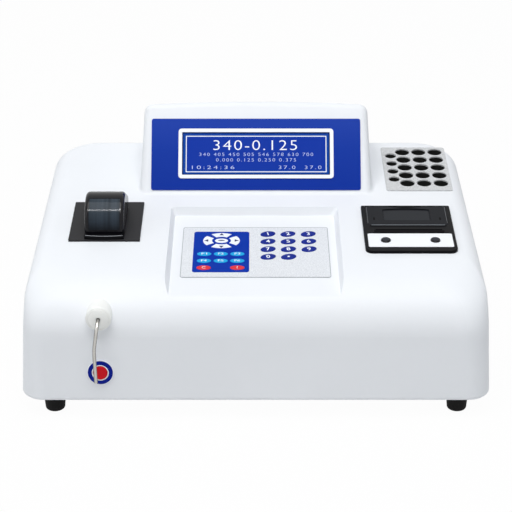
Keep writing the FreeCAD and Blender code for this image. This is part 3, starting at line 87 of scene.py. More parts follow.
def on_front(x, up, out):
    """up runs up the front from the housing's lower edge, and out stands on it."""
    y = up * sin(FRONT_LEAN) - out * cos(FRONT_LEAN)
    z = FOOT_HEIGHT + up * cos(FRONT_LEAN) + out * sin(FRONT_LEAN)
    return to_row(x, y, z)


# Materials. Their scales are in the row's metres.
UP = (0, 0, 1)
COAT_ROUGHNESS = 0.05
LEAST_ROUGHNESS = 0.02
TINT_DETAIL = 4.0
FINE_DETAIL = 3.0
# Nearly all of a noise lies between these two values
NOISE_LOW, NOISE_HIGH = 0.3, 0.7
STREAK_DARK, STREAK_LIGHT = 0.7, 1.3
# Scale and share of the changes in colour, and in roughness
PLASTIC_TINT = (6.0, 0.02)
PLASTIC_SHEEN = (25.0, 0.04)
PLASTIC_GRAIN_HEIGHT = 0.00008
METAL_TINT = (40.0, 0.08)
METAL_SHEEN = (120.0, 0.08)
METAL_GRAIN = 400.0
METAL_GRAIN_HEIGHT = 0.00005
# Heights of the lower and the upper edge of the painted light and shade that change a colour upwards
PANEL_SHADE_EDGES = (0.137, 0.194)
WINDOW_LIGHT_EDGES = (0.147, 0.184)
SHIELD_REFLECTION_EDGES = (0.124, 0.150)


class Shader:
    """A Principled material with its nodes, built up step by step."""

    def __init__(self, name, color, rough, metallic=0.0, specular=0.5, coat=0.0):
        self.material = bpy.data.materials.new(name)
        self.material.use_nodes = True
        self.nodes = self.material.node_tree.nodes
        self.links = self.material.node_tree.links
        self.bsdf = self.nodes["Principled BSDF"]
        self.color = color
        self.rough = rough
        self.bsdf.inputs["Base Color"].default_value = tuple(color) + (1.0,)
        self.bsdf.inputs["Roughness"].default_value = rough
        self.bsdf.inputs["Metallic"].default_value = metallic
        self.bsdf.inputs["Specular IOR Level"].default_value = specular
        self.bsdf.inputs["Coat Weight"].default_value = coat
        self.bsdf.inputs["Coat Roughness"].default_value = COAT_ROUGHNESS
        self.coords = self.nodes.new("ShaderNodeTexCoord").outputs["Object"]

    def noise(self, scale, detail, stretch=None):
        vector = self.coords
        if stretch:
            mapping = self.nodes.new("ShaderNodeMapping")
            mapping.inputs["Scale"].default_value = stretch
            self.links.new(vector, mapping.inputs["Vector"])
            vector = mapping.outputs["Vector"]
        node = self.nodes.new("ShaderNodeTexNoise")
        node.inputs["Scale"].default_value = scale
        node.inputs["Detail"].default_value = detail
        self.links.new(vector, node.inputs["Vector"])
        return node.outputs["Fac"]

    def ramp(self, value, stops):
        """Colours at (place, colour) stops, from 0 to 1."""
        node = self.nodes.new("ShaderNodeValToRGB")
        elements = node.color_ramp.elements
        while len(elements) < len(stops):
            elements.new(0.5)
        for element, (place, color) in zip(elements, stops):
            element.position = place
            element.color = tuple(color) + (1.0,)
        self.links.new(value, node.inputs["Fac"])
        return node.outputs["Color"]

    def vary(self, scale, amount, stretch=None):
        """The base colour varies a little by a noise."""
        dark = [c * (1 - amount) for c in self.color]
        light = [min(1.0, c * (1 + amount)) for c in self.color]
        stops = [(NOISE_LOW, dark), (NOISE_HIGH, light)]
        return self.tint(self.ramp(self.noise(scale, TINT_DETAIL, stretch), stops))

    def tint(self, color_output):
        self.links.new(color_output, self.bsdf.inputs["Base Color"])
        return self

    def vary_rough(self, scale, amount, stretch=None):
        node = self.nodes.new("ShaderNodeMapRange")
        node.inputs["To Min"].default_value = max(LEAST_ROUGHNESS, self.rough - amount)
        node.inputs["To Max"].default_value = min(1.0, self.rough + amount)
        self.links.new(self.noise(scale, FINE_DETAIL, stretch), node.inputs["Value"])
        self.links.new(node.outputs["Result"], self.bsdf.inputs["Roughness"])
        return self

    def bump(self, scale, strength, distance, stretch=None):
        node = self.nodes.new("ShaderNodeBump")
        node.inputs["Strength"].default_value = strength
        node.inputs["Distance"].default_value = distance
        self.links.new(self.noise(scale, FINE_DETAIL, stretch), node.inputs["Height"])
        self.links.new(node.outputs["Normal"], self.bsdf.inputs["Normal"])
        return self

    def streaked(self, value, color_output):
        """The given colour, darker and lighter by a noise."""
        span = self.nodes.new("ShaderNodeMapRange")
        span.inputs["From Min"].default_value = NOISE_LOW
        span.inputs["From Max"].default_value = NOISE_HIGH
        span.inputs["To Min"].default_value = STREAK_DARK
        span.inputs["To Max"].default_value = STREAK_LIGHT
        self.links.new(value, span.inputs["Value"])
        scale = self.nodes.new("ShaderNodeVectorMath")
        scale.operation = "SCALE"
        self.links.new(color_output, scale.inputs[0])
        self.links.new(span.outputs["Result"], scale.inputs["Scale"])
        return scale.outputs["Vector"]

    def along(self, direction, start, end):
        """0 to 1 along a direction in the row's frame, between two distances in metres."""
        dot = self.nodes.new("ShaderNodeVectorMath")
        dot.operation = "DOT_PRODUCT"
        dot.inputs[1].default_value = direction
        self.links.new(self.coords, dot.inputs[0])
        span = self.nodes.new("ShaderNodeMapRange")
        span.inputs["From Min"].default_value = start
        span.inputs["From Max"].default_value = end
        self.links.new(dot.outputs["Value"], span.inputs["Value"])
        return span.outputs["Result"]


def plastic(name, color, rough, grain, grain_depth, **more):
    shader = Shader(name, color, rough, **more)
    shader.vary(*PLASTIC_TINT).vary_rough(*PLASTIC_SHEEN)
    return shader.bump(grain, grain_depth, PLASTIC_GRAIN_HEIGHT).material


def metal(name, color, rough, grain_depth, stretch=None):
    shader = Shader(name, color, rough, metallic=1.0)
    shader.vary(*METAL_TINT, stretch).vary_rough(*METAL_SHEEN, stretch)
    return shader.bump(METAL_GRAIN, grain_depth, METAL_GRAIN_HEIGHT, stretch).material


# Finish: name, colour, roughness, scale and depth of the grain, and what differs from plain plastic
PLASTICS = {
    "housing": ("housing_plastic", (0.82, 0.84, 0.87), 0.5, 1500.0, 0.10, {"specular": 0.22}),
    "trim": ("trim_plastic", (0.86, 0.865, 0.84), 0.35, 700.0, 0.05, {"coat": 0.1}),
    "frame_white": ("frame_plastic", (0.86, 0.88, 0.91), 0.35, 700.0, 0.04, {"specular": 0.3}),
    "black_gloss": ("black_gloss_plastic", (0.005, 0.005, 0.007), 0.16, 300.0, 0.02, {"specular": 0.2}),
    "black_matte": ("black_matte_plastic", (0.009, 0.010, 0.012), 0.40, 1400.0, 0.2, {"specular": 0.25}),
    "charcoal": ("charcoal_plastic", (0.024, 0.024, 0.026), 0.5, 1800.0, 0.3, {"specular": 0.1}),
    "rubber": ("foot_rubber", (0.006, 0.006, 0.006), 0.8, 1200.0, 0.35, {"specular": 0.2}),
    "block": ("block_coating", (0.016, 0.016, 0.015), 0.45, 1500.0, 0.2, {"specular": 0.2}),
    "anodised": ("black_anodised", (0.03, 0.03, 0.032), 0.4, 1600.0, 0.2, {"metallic": 0.6}),
    "circuit": ("circuit_board", (0.02, 0.13, 0.06), 0.35, 300.0, 0.3, {}),
    "motor": ("motor_enamel", (0.07, 0.07, 0.075), 0.35, 500.0, 0.1, {}),
    "acetal": ("white_acetal", (0.80, 0.80, 0.77), 0.4, 600.0, 0.1, {}),
    "silicone": ("silicone_tube", (0.80, 0.77, 0.68), 0.35, 300.0, 0.05, {}),
    "amber": ("heater_film", (0.45, 0.16, 0.02), 0.3, 200.0, 0.1, {}),
    "paper": ("thermal_paper", (0.86, 0.86, 0.84), 0.6, 2500.0, 0.15, {}),
    "blue_print": ("blue_print", (0.005, 0.036, 0.35), 0.5, 2200.0, 0.10, {"specular": 0.03}),
    "surround": ("surround_film", (0.003, 0.055, 0.34), 0.5, 900.0, 0.05, {"specular": 0.04}),
    # Dark blue of the painted shadow under the display's white frame
    "deep_blue": ("painted_shadow_blue", (0.002, 0.020, 0.15), 0.5, 900.0, 0.05, {"specular": 0.04}),
    "white_print": ("white_print", (0.86, 0.89, 0.94), 0.5, 2200.0, 0.08, {"specular": 0.2}),
    "pale_print": ("pale_print", (0.55, 0.66, 0.90), 0.5, 2200.0, 0.08, {"specular": 0.2}),
    "cyan_key": ("cyan_key", (0.0, 0.36, 0.72), 0.40, 1200.0, 0.06, {"specular": 0.2}),
    "red_key": ("red_key", (0.68, 0.022, 0.032), 0.40, 1200.0, 0.06, {"specular": 0.2}),
    "blue_key": ("blue_key", (0.002, 0.016, 0.23), 0.40, 1200.0, 0.06, {"specular": 0.12}),
    "red_button": ("red_button", (0.60, 0.002, 0.010), 0.4, 900.0, 0.05, {"specular": 0.15}),
    "ring_blue": ("ring_blue", (0.0, 0.010, 0.24), 0.5, 1200.0, 0.08, {"specular": 0.1}),
    "button_dark": ("dark_button", (0.022, 0.025, 0.034), 0.4, 900.0, 0.15, {"specular": 0.1}),
    "ink": ("dark_ink", (0.003, 0.008, 0.09), 0.4, 900.0, 0.05, {"specular": 0.25}),
    # Grey of the painted shadow round the keypad film
    "shadow_grey": ("film_shadow_grey", (0.36, 0.38, 0.40), 0.5, 900.0, 0.05, {}),
    # Black of the painted shade in the lid's slots
    "painted_slot_shade": ("painted_slot_shade", (0.001, 0.001, 0.001), 0.6, 900.0, 0.05, {"specular": 0.05}),
    "bright_white": ("bright_white", (0.97, 0.97, 0.98), 0.5, 900.0, 0.04, {"specular": 0.2}),
    # Grey of the painted highlights along the lid's edges
    "lid_edge": ("lid_edge", (0.07, 0.075, 0.085), 0.3, 900.0, 0.05, {}),
    # Grey of the painted highlight along the printer's ridge
    "ridge_highlight_grey": ("ridge_highlight_grey", (0.13, 0.15, 0.17), 0.3, 900.0, 0.05, {}),
    # Grey of the painted highlight along the collar's front edge
    "bead_highlight_grey": ("bead_highlight_grey", (0.30, 0.32, 0.34), 0.25, 900.0, 0.05, {}),
    "collar_black": ("collar_black", (0.003, 0.003, 0.004), 0.3, 900.0, 0.05, {"specular": 0.06}),
    "bezel_black": ("bezel_black", (0.004, 0.004, 0.005), 0.35, 1400.0, 0.1, {"specular": 0.06}),
    "lid_black": ("lid_black", (0.009, 0.010, 0.013), 0.3, 1400.0, 0.1, {"specular": 0.05}),
    "grip_grey": ("grip_grey", (0.017, 0.019, 0.023), 0.35, 1400.0, 0.1, {"specular": 0.06}),
}


def fascia_material():
    """Printed blue film, with painted shade that makes it a little darker towards its lower edge."""
    shader = Shader("blue_film", (0.006, 0.036, 0.37), 0.5, specular=0.03)
    # Painted shade: the film's blue darkens towards its lower edge
    color = shader.ramp(shader.along(UP, *PANEL_SHADE_EDGES), [
        (0.0, (0.003, 0.030, 0.31)), (0.55, (0.006, 0.038, 0.34)), (1.0, (0.014, 0.050, 0.37))])
    return shader.tint(color).vary_rough(60.0, 0.03).bump(2600.0, 0.12, 0.00005).material


def window_material():
    """Clear window over a blue backlit display, seen as a deep blue glossy face, with painted light that
    makes it a little lighter upwards.
    """
    shader = Shader("display_window", (0.003, 0.05, 0.26), 0.3, specular=0.3)
    # Painted light: the window's blue grows lighter upwards
    color = shader.ramp(shader.along(UP, *WINDOW_LIGHT_EDGES), [
        (0.0, (0.002, 0.045, 0.24)), (1.0, (0.006, 0.055, 0.28))])
    return shader.tint(color).vary_rough(15.0, 0.03).bump(80.0, 0.02, 0.0001).material


def rack_material():
    """Bead-blasted bright plate."""
    shader = Shader("rack_plate_metal", (0.62, 0.62, 0.63), 0.5, metallic=0.25)
    color = shader.ramp(shader.noise(1100.0, 6.0), [
        (0.30, (0.36, 0.36, 0.37)), (0.48, (0.54, 0.55, 0.56)), (0.72, (0.72, 0.73, 0.74))])
    return shader.tint(color).vary_rough(300.0, 0.10).bump(1400.0, 0.35, 0.0001).material


def film_material():
    """Light grey keypad film with a fine printed speckle."""
    shader = Shader("keypad_film", (0.68, 0.70, 0.73), 0.5, specular=0.25)
    color = shader.ramp(shader.noise(1500.0, 2.0), [
        (0.36, (0.60, 0.62, 0.65)), (0.5, (0.72, 0.74, 0.77)), (0.64, (0.80, 0.82, 0.85))])
    return shader.tint(color).vary_rough(200.0, 0.04).bump(1800.0, 0.2, 0.00008).material


def shield_material():
    """Smoked polished shield, with a painted reflection that makes it paler upwards, and the fine streaks of
    its bending.
    """
    shader = Shader("smoked_shield", (0.02, 0.024, 0.03), 0.08, specular=0.08)
    streaks = shader.noise(300.0, FINE_DETAIL, (1.0, 0.02, 0.02))
    # Painted reflection: the shield's colour grows paler upwards
    painted_reflection = shader.ramp(shader.along(UP, *SHIELD_REFLECTION_EDGES), [
        (0.0, (0.002, 0.003, 0.004)), (0.30, (0.007, 0.009, 0.013)), (0.62, (0.024, 0.033, 0.045)),
        (1.0, (0.038, 0.050, 0.064))])
    shader.tint(shader.streaked(streaks, painted_reflection))
    drawn = (1.0, 0.03, 0.03)
    return shader.vary_rough(260.0, 0.03, drawn).bump(260.0, 0.02, 0.00005, drawn).material


def steel_material():
    """Polished round steel, with a painted reflection and shade in its colour: bright where it faces the eye,
    darker towards its sides.
    """
    shader = Shader("polished_steel", (0.60, 0.59, 0.55), 0.2, metallic=1.0)
    # Painted reflection and shade, set by how squarely the surface faces the eye
    edge = shader.nodes.new("ShaderNodeLayerWeight")
    edge.inputs["Blend"].default_value = 0.5
    color = shader.ramp(edge.outputs["Facing"], [
        (0.0, (0.62, 0.61, 0.58)), (0.25, (0.42, 0.41, 0.39)), (0.7, (0.08, 0.08, 0.08))])
    return shader.tint(color).vary_rough(120.0, 0.06).bump(400.0, 0.04, 0.00005).material


def optics_material():
    """Clear glass of the lamp, the filters and the flow cell."""
    shader = Shader("optical_glass", (0.85, 0.90, 0.94), 0.03)
    shader.bsdf.inputs["Transmission Weight"].default_value = 0.85
    shader.bsdf.inputs["IOR"].default_value = 1.46
    return shader.vary_rough(30.0, 0.02).bump(60.0, 0.02, 0.0001).material


materials = {}
for finish, (name, color, rough, grain, grain_depth, more) in PLASTICS.items():
    materials[finish] = plastic(name, color, rough, grain, grain_depth, **more)
materials["screw"] = metal("screw_steel", (0.55, 0.55, 0.55), 0.3, 0.06)
materials["zinc"] = metal("zinc_sheet", (0.56, 0.57, 0.58), 0.38, 0.12, (1.0, 30.0, 1.0))
materials["fascia"] = fascia_material()
materials["window"] = window_material()
materials["rack"] = rack_material()
materials["film"] = film_material()
materials["shield"] = shield_material()
materials["steel"] = steel_material()
materials["optics"] = optics_material()

finish_of = {
    "upper_housing": "housing", "chassis": "zinc", "rear_panel": "zinc", "feet": "rubber",
    "foot_screws": "screw", "rear_screws": "screw", "display_fascia": "fascia",
    "display_frame": "frame_white", "display_glass": "window", "display_board": "circuit",
    "keypad_overlay": "film", "reader_plate": "charcoal", "reader_collar": "collar_black",
    "reader_cover": "black_gloss", "reader_shield": "shield", "reader_hinge_pin": "steel",
    "optical_bench": "anodised", "cell_holder": "anodised", "flow_cell": "optics",
    "filter_wheel": "anodised", "filter_glasses": "optics", "filter_motor": "motor",
    "lamp_house": "anodised", "halogen_lamp": "optics", "detector_board": "circuit",
    "rack_plate": "rack", "incubator_block": "block", "heater_pad": "amber",
    "printer_bezel": "bezel_black", "printer_lid": "lid_black", "tear_bar": "bezel_black",
    "printer_strip": "frame_white", "feed_button": "black_gloss", "select_button": "black_gloss",
    "printer_tray": "black_matte", "platen_roller": "rubber", "print_head": "zinc",
    "paper_roll": "paper", "sipper_boss": "trim", "sipper_tube": "steel",
    "aspirate_bezel": "bright_white", "aspirate_ring": "ring_blue", "aspirate_button": "red_button",
    "aspirate_switch": "black_matte", "pump_head": "acetal", "pump_rotor": "acetal",
    "pump_roller_1": "steel", "pump_roller_2": "steel", "pump_roller_3": "steel",
    "pump_motor": "motor", "pump_tube": "silicone", "sample_tube": "silicone",
    "fan_frame": "black_matte", "fan_rotor": "black_matte", "power_inlet": "black_matte",
    "power_rocker": "black_gloss", "serial_port": "zinc", "waste_port": "acetal",
    "main_board": "circuit", "power_supply": "zinc",
}


def dress(node, material):
    node.data.materials.clear()
    node.data.materials.append(material)
    for slot in node.material_slots:
        slot.material = material


for name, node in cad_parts.items():
    dress(node, materials[finish_of[name]])


# Pieces
OVAL_POINTS = 40
CORNER_STEPS = 6
SECTOR_STEPS = 14
RING_TURNS = 48
LEAST_RADIUS = 0.05
LETTER_RESOLUTION = 4


def attach(name, mesh, finish, body):
    """Make a mesh a piece that rides on a body."""
    piece = bpy.data.objects.new(name, mesh)
    bpy.context.scene.collection.objects.link(piece)
    mesh.materials.clear()
    mesh.materials.append(materials[finish])
    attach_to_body(piece, body)


def make_piece(name, points, faces, finish, body, smooth=False):
    mesh = bpy.data.meshes.new(name)
    mesh.from_pydata([tuple(p) for p in points], [], faces)
    mesh.update()
    for polygon in mesh.polygons:
        polygon.use_smooth = smooth
    attach(name, mesh, finish, body)


def ring_faces(count, rings):
    """Faces between neighbouring rings with the same count of points."""
    faces = []
    for ring in range(rings - 1):
        low = ring * count
        high = low + count
        for i in range(count):
            j = (i + 1) % count
            faces.append((low + i, low + j, high + j, high + i))
    return faces


def floor_face(count):
    return tuple(range(count - 1, -1, -1))


def capped_faces(count, rings):
    """Rings with a face over each end."""
    last = (rings - 1) * count
    return ring_faces(count, rings) + [floor_face(count), tuple(range(last, last + count))]


def looped_faces(count, rings):
    """Rings whose last one meets the first."""
    last = (rings - 1) * count
    faces = ring_faces(count, rings)
    for i in range(count):
        j = (i + 1) % count
        faces.append((last + i, last + j, j, i))
    return faces


def pad(name, outline, profile, place, finish, body, slot):
    """A raised pad: an (x, u) outline carried through (inset, height) rings to a closed top."""
    count = len(outline)
    cx = sum(x for x, u in outline) / count
    cu = sum(u for x, u in outline) / count
    points = []
    for inset, height in profile:
        for x, u in outline:
            dx, du = x - cx, u - cu
            keep = 1 - inset / math.hypot(dx, du)
            points.append(place(cx + dx * keep, cu + du * keep, height))
    make_piece(name, points, capped_faces(count, len(profile)), finish, body)


def turned(cx, cu, x, u, tilt):
    """The point (x, u) turned by an angle about a middle."""
    return cx + x * cos(tilt) - u * sin(tilt), cu + x * sin(tilt) + u * cos(tilt)


def oval(cx, cu, half_x, half_u, tilt=0.0):
    angles = [FULL_TURN * i / OVAL_POINTS for i in range(OVAL_POINTS)]
    return [turned(cx, cu, half_x * cos(angle), half_u * sin(angle), tilt) for angle in angles]


def rounded_box(left, right, low, high, radius):
    points = []
    corners = [(right - radius, low + radius, -RIGHT_ANGLE), (right - radius, high - radius, 0.0),
               (left + radius, high - radius, RIGHT_ANGLE), (left + radius, low + radius, 2 * RIGHT_ANGLE)]
    for cx, cu, start in corners:
        for i in range(CORNER_STEPS + 1):
            angle = start + RIGHT_ANGLE * i / CORNER_STEPS
            points.append((cx + radius * cos(angle), cu + radius * sin(angle)))
    return points


def sector(cx, cu, inner, outer, start, end, squeeze):
    """Outline of part of an oval ring: along its outer edge and back along the inner one."""
    points = []
    for radius, first, last in ((outer, start, end), (inner, end, start)):
        for i in range(SECTOR_STEPS + 1):
            angle = first + (last - first) * i / SECTOR_STEPS
            points.append((cx + radius * cos(angle), cu + radius * sin(angle) * squeeze))
    return points


def frame_ring(name, box, bar, radius, bottom, top, place, finish, body, slot):
    """Flat ring round a box of left, right, low and high, with rounded corners."""
    left, right, low, high = box
    outer = rounded_box(left, right, low, high, radius)
    inner = rounded_box(left + bar, right - bar, low + bar, high - bar, max(radius - bar, LEAST_RADIUS))
    rings = ((outer, bottom), (outer, top), (inner, top), (inner, bottom))
    points = [place(x, u, height) for outline, height in rings for x, u in outline]
    make_piece(name, points, looped_faces(len(outer), len(rings)), finish, body)


def words(name, text, box, height, place, finish, body, slot, stretch=True, thin=0.0, gap=1.0, tilt=0.0):
    """Printed characters that fill a box of left, right, low and high on a surface."""
    curve = bpy.data.curves.new(name + "_curve", "FONT")
    curve.body = text
    curve.offset = -thin
    curve.space_character = gap
    curve.resolution_u = LETTER_RESOLUTION
    carrier = bpy.data.objects.new(name + "_carrier", curve)
    bpy.context.scene.collection.objects.link(carrier)
    bpy.context.view_layer.update()
    source = carrier.evaluated_get(bpy.context.evaluated_depsgraph_get())
    mesh = bpy.data.meshes.new_from_object(source)
    bpy.data.objects.remove(carrier)
    bpy.data.curves.remove(curve)
    left, right, low, high = box
    xs = [v.co.x for v in mesh.vertices]
    ys = [v.co.y for v in mesh.vertices]
    x0, x1, y0, y1 = min(xs), max(xs), min(ys), max(ys)
    scale_x = (right - left) / (x1 - x0)
    scale_y = (high - low) / (y1 - y0)
    if not stretch:
        scale_x = min(scale_x, scale_y)
    for v in mesh.vertices:
        x = (v.co.x - (x0 + x1) / 2) * scale_x
        u = (v.co.y - (y0 + y1) / 2) * scale_y
        v.co = place(*turned((left + right) / 2, (low + high) / 2, x, u, tilt), height)
    mesh.update()
    attach(name, mesh, finish, body)


def about(x, u, half_x, half_u):
    """The box of left, right, low and high about a middle."""
    return x - half_x, x + half_x, u - half_u, u + half_u


# Display: printed surround with a painted shadow line on the panel, and on the glass a field, a border and
# rows of general figures. Heights are above the hood's face.
ON_PANEL = {"place": on_hood, "body": "base", "slot": "panel_blue"}
ON_GLASS = {"place": on_hood, "body": "base", "slot": "display_glass"}
SURROUND = (-68.2, 68.2, 18.2, 58.2)
FIGURES_HEIGHT = 0.56
frame_ring("display_surround", SURROUND, bar=4.2, radius=1.0, bottom=0.30, top=0.46, finish="surround",
           **ON_PANEL)
# The shadow line is painted shade under the white frame
frame_ring("display_shadow_line", SURROUND, bar=0.9, radius=1.0, bottom=0.44, top=0.48,
           finish="deep_blue", **ON_PANEL)
pad("display_field", rounded_box(-64.0, 64.0, 22.4, 54.0, 0.4), [(0.0, 0.30), (0.0, 0.47), (0.06, 0.50)],
    finish="blue_print", **ON_GLASS)
frame_ring("display_border", (-65.0, 65.3, 20.6, 55.2), bar=0.8, radius=0.5, bottom=0.45, top=0.54,
           finish="white_print", **ON_GLASS)
# Row, text, box, finish, how much thinner the strokes are, and the spacing of the characters
ROWS = [
    ("large_row", "340-0.125", (-39.5, 38.0, 41.6, 51.0), "white_print", 0.010, 1.15),
    ("second_row", "340 405 450 505 546 578 630 700", (-52.5, 52.9, 36.0, 39.0), "pale_print", 0.012, 1.3),
    ("third_row", "0.000 0.125 0.250 0.375", (-37.0, 37.0, 30.8, 33.8), "pale_print", 0.012, 1.3),
    ("left_corner", "10:24:36", (-59.2, -20.0, 23.6, 26.8), "pale_print", 0.012, 1.35),
    ("right_corner", "37.0  37.0", (21.0, 60.5, 23.6, 26.8), "pale_print", 0.012, 1.35),
]
for row, text, box, finish, thin, gap in ROWS:
    words("display_" + row, text, box, FIGURES_HEIGHT, finish=finish, thin=thin, gap=gap, **ON_GLASS)

# Keypad: painted shadow line at the edge and blue field of the film, and the keys with their marks.
# Heights are above the deck, and the film lies in the pocket.
ON_FILM = {"place": on_deck, "body": "base", "slot": "keypad_film"}
KEY_LOW = FILM_TOP + 0.12
KEY_MARK = KEY_LOW + 0.45
KEY_RINGS = [(0.0, KEY_LOW), (0.05, KEY_LOW + 0.18), (0.35, KEY_LOW + 0.34), (0.9, KEY_LOW + 0.42)]
ARROW_TOP = KEY_LOW + 0.30
ARROW_MARK_RINGS = [(0.0, KEY_LOW + 0.28), (0.0, KEY_LOW + 0.36)]
ENTER_MARK_RINGS = [(0.0, KEY_LOW + 0.40), (0.0, KEY_LOW + 0.47)]
# The arrow keys are parts of a ring, lower than it is wide, at these middle and half angles
NAV_X, NAV_U = -30.5, 108.3
NAV_INNER = 8.4
NAV_OUTER = 16.2
NAV_SQUEEZE = 13.4 / NAV_OUTER
ARROW_ANGLES = ((0, 37), (90, 33), (180, 37), (270, 33))
ARROW_MARK_PLACE = 12.9
ARROW_MARK_SIZE = 2.4
ENTER_HALF = (5.8, 3.8)
ENTER_MARK_HALF = (3.0, 0.9)
# The grey ring is painted shadow along the film's edge
frame_ring("film_shadow_line", (-64.9, 64.1, 45.4, 133.1), bar=0.55, radius=2.0, bottom=FILM_TOP - 0.30,
           top=FILM_TOP + 0.06, finish="shadow_grey", **ON_FILM)
pad("keypad_field", rounded_box(-54.9, -5.9, 53.7, 124.9, 2.6),
    [(0.0, FILM_TOP - 0.02), (0.0, FILM_TOP + 0.10), (0.12, FILM_TOP + 0.14)], finish="blue_print", **ON_FILM)


def arrow_key(number, middle, half):
    """A key that is part of the oval ring round the enter key, with its mark."""
    outline = sector(NAV_X, NAV_U, NAV_INNER, NAV_OUTER, middle - half, middle + half, NAV_SQUEEZE)
    count = len(outline)
    points = [on_deck(x, u, height) for height in (KEY_LOW, ARROW_TOP) for x, u in outline]
    faces = ring_faces(count, 2) + [floor_face(count)]
    for i in range(count // 2 - 1):
        far = 2 * count - 1 - i
        faces.append((count + i, count + i + 1, far - 1, far))
    make_piece("arrow_key_%d" % number, points, faces, "white_print", "base")
    mark_x = NAV_X + ARROW_MARK_PLACE * cos(middle)
    mark_u = NAV_U + ARROW_MARK_PLACE * NAV_SQUEEZE * sin(middle)
    mark = []
    for corner in (middle, middle + 120, middle + 240):
        mark.append((mark_x + ARROW_MARK_SIZE * cos(corner), mark_u + ARROW_MARK_SIZE * sin(corner)))
    pad("arrow_mark_%d" % number, mark, ARROW_MARK_RINGS, finish="ink", **ON_FILM)


for number, (middle, half) in enumerate(ARROW_ANGLES, start=1):
    arrow_key(number, middle, half)
pad("enter_key", oval(NAV_X, NAV_U, *ENTER_HALF), KEY_RINGS, finish="white_print", **ON_FILM)
pad("enter_mark", oval(NAV_X, NAV_U, *ENTER_MARK_HALF), ENTER_MARK_RINGS, finish="ink", **ON_FILM)

FUNCTION_KEYS = [(x, u) for u in (84.9, 73.0) for x in (-45.1, -30.6, -16.2)]
FUNCTION_HALF = (6.2, 3.5)
FUNCTION_MARK_HALF = (2.4, 1.6)
for number, (key_x, key_u) in enumerate(FUNCTION_KEYS, start=1):
    pad("function_key_%d" % number, oval(key_x, key_u, *FUNCTION_HALF), KEY_RINGS, finish="cyan_key",
        **ON_FILM)
    words("function_mark_%d" % number, "F%d" % number, about(key_x, key_u, *FUNCTION_MARK_HALF), KEY_MARK,
          finish="white_print", **ON_FILM)
# The two red keys are numbered on from the six function keys
RED_KEYS = ((7, -45.0, "C"), (8, -16.1, "?"))
RED_KEYS_U = 61.2
RED_HALF = (6.3, 3.8)
RED_MARK_HALF = (1.6, 1.9)
for number, key_x, mark in RED_KEYS:
    pad("red_key_%d" % number, oval(key_x, RED_KEYS_U, *RED_HALF), KEY_RINGS, finish="red_key", **ON_FILM)
    words("red_mark_%d" % number, mark, about(key_x, RED_KEYS_U, *RED_MARK_HALF), KEY_MARK,
          finish="white_print", stretch=False, **ON_FILM)

DIGIT_LOW = FILM_TOP - 0.02
DIGIT_TILT = 18.0
DIGIT_RINGS = [(0.0, DIGIT_LOW), (0.05, DIGIT_LOW + 0.2), (0.4, DIGIT_LOW + 0.40), (1.0, DIGIT_LOW + 0.5)]
POINT_RINGS = [(0.0, DIGIT_LOW + 0.48), (0.0, DIGIT_LOW + 0.55)]
DIGIT_KEYS = [(x, u) for u in (120.6, 107.1, 93.4, 80.1) for x in (10.6, 28.4, 46.5)]
DIGIT_HALF = (6.9, 4.9)
DIGIT_MARK_HALF = (2.2, 2.6)
POINT_HALF = (1.0, 1.2)
for number, (label, (key_x, key_u)) in enumerate(zip("1234567890.", DIGIT_KEYS), start=1):
    pad("digit_key_%d" % number, oval(key_x, key_u, *DIGIT_HALF, DIGIT_TILT), DIGIT_RINGS,
        finish="blue_key", **ON_FILM)
    if label == ".":
        pad("digit_mark_%d" % number, oval(key_x, key_u, *POINT_HALF), POINT_RINGS, finish="white_print",
            **ON_FILM)
    else:
        words("digit_mark_%d" % number, label, about(key_x, key_u, *DIGIT_MARK_HALF), DIGIT_LOW + 0.54,
              finish="white_print", stretch=False, thin=-0.02, tilt=DIGIT_TILT / 2, **ON_FILM)

# Printer: a painted highlight on the ridge behind the white strip, and on the lid a grip panel, two painted
# highlight lines along its edges and two slots painted as black shade, then the caps of the two buttons
ON_PRINTER = {"place": on_deck, "body": "base", "slot": "printer_black"}
ON_LID = {"place": on_deck, "body": "lid", "slot": "printer_black"}
LID_TOP = 2.85
GRIP_FLOOR = LID_TOP - 0.8
LID_HIGHLIGHTS = (99.7, 170.3)
LID_HIGHLIGHT_HALF = 0.25
LID_HIGHLIGHT_SPAN = (124.5, 154.0)
LID_HIGHLIGHT_RINGS = [(0.0, LID_TOP - 0.02), (0.0, LID_TOP + 0.06), (0.1, LID_TOP + 0.12)]
LID_SLOTS = (105.5, 164.5)
LID_SLOT_HALF = 0.75
LID_SLOT_SPAN = (130.2, 134.6)
LID_SLOT_RINGS = [(0.0, LID_TOP - 0.02), (0.0, LID_TOP + 0.05)]
BUTTONS = (("feed", "feed_key", 113.35), ("select", "select_key", 156.65))
BUTTONS_U = 92.4
CAP_RADIUS = 2.9
CAP_RINGS = [(0.0, 4.3), (0.0, 4.52), (0.3, 4.66), (1.2, 4.70)]
# A lighter bar paints the highlight along the ridge
pad("printer_ridge_highlight", rounded_box(102.2, 167.8, 118.85, 119.85, 0.3), [(0.0, 3.5), (0.0, 3.64), (0.15, 3.72)],
    finish="ridge_highlight_grey", **ON_PRINTER)
pad("grip_panel", rounded_box(114.6, 155.4, 130.2, 148.6, 0.8),
    [(0.0, GRIP_FLOOR - 0.02), (0.0, GRIP_FLOOR + 0.2), (0.4, GRIP_FLOOR + 0.3)], finish="grip_grey",
    **ON_LID)
# Lighter strips paint the highlights along the lid's rounded edges
for number, highlight_x in enumerate(LID_HIGHLIGHTS, start=1):
    outline = rounded_box(highlight_x - LID_HIGHLIGHT_HALF, highlight_x + LID_HIGHLIGHT_HALF, *LID_HIGHLIGHT_SPAN, 0.2)
    pad("lid_edge_%d" % number, outline, LID_HIGHLIGHT_RINGS, finish="lid_edge", **ON_LID)
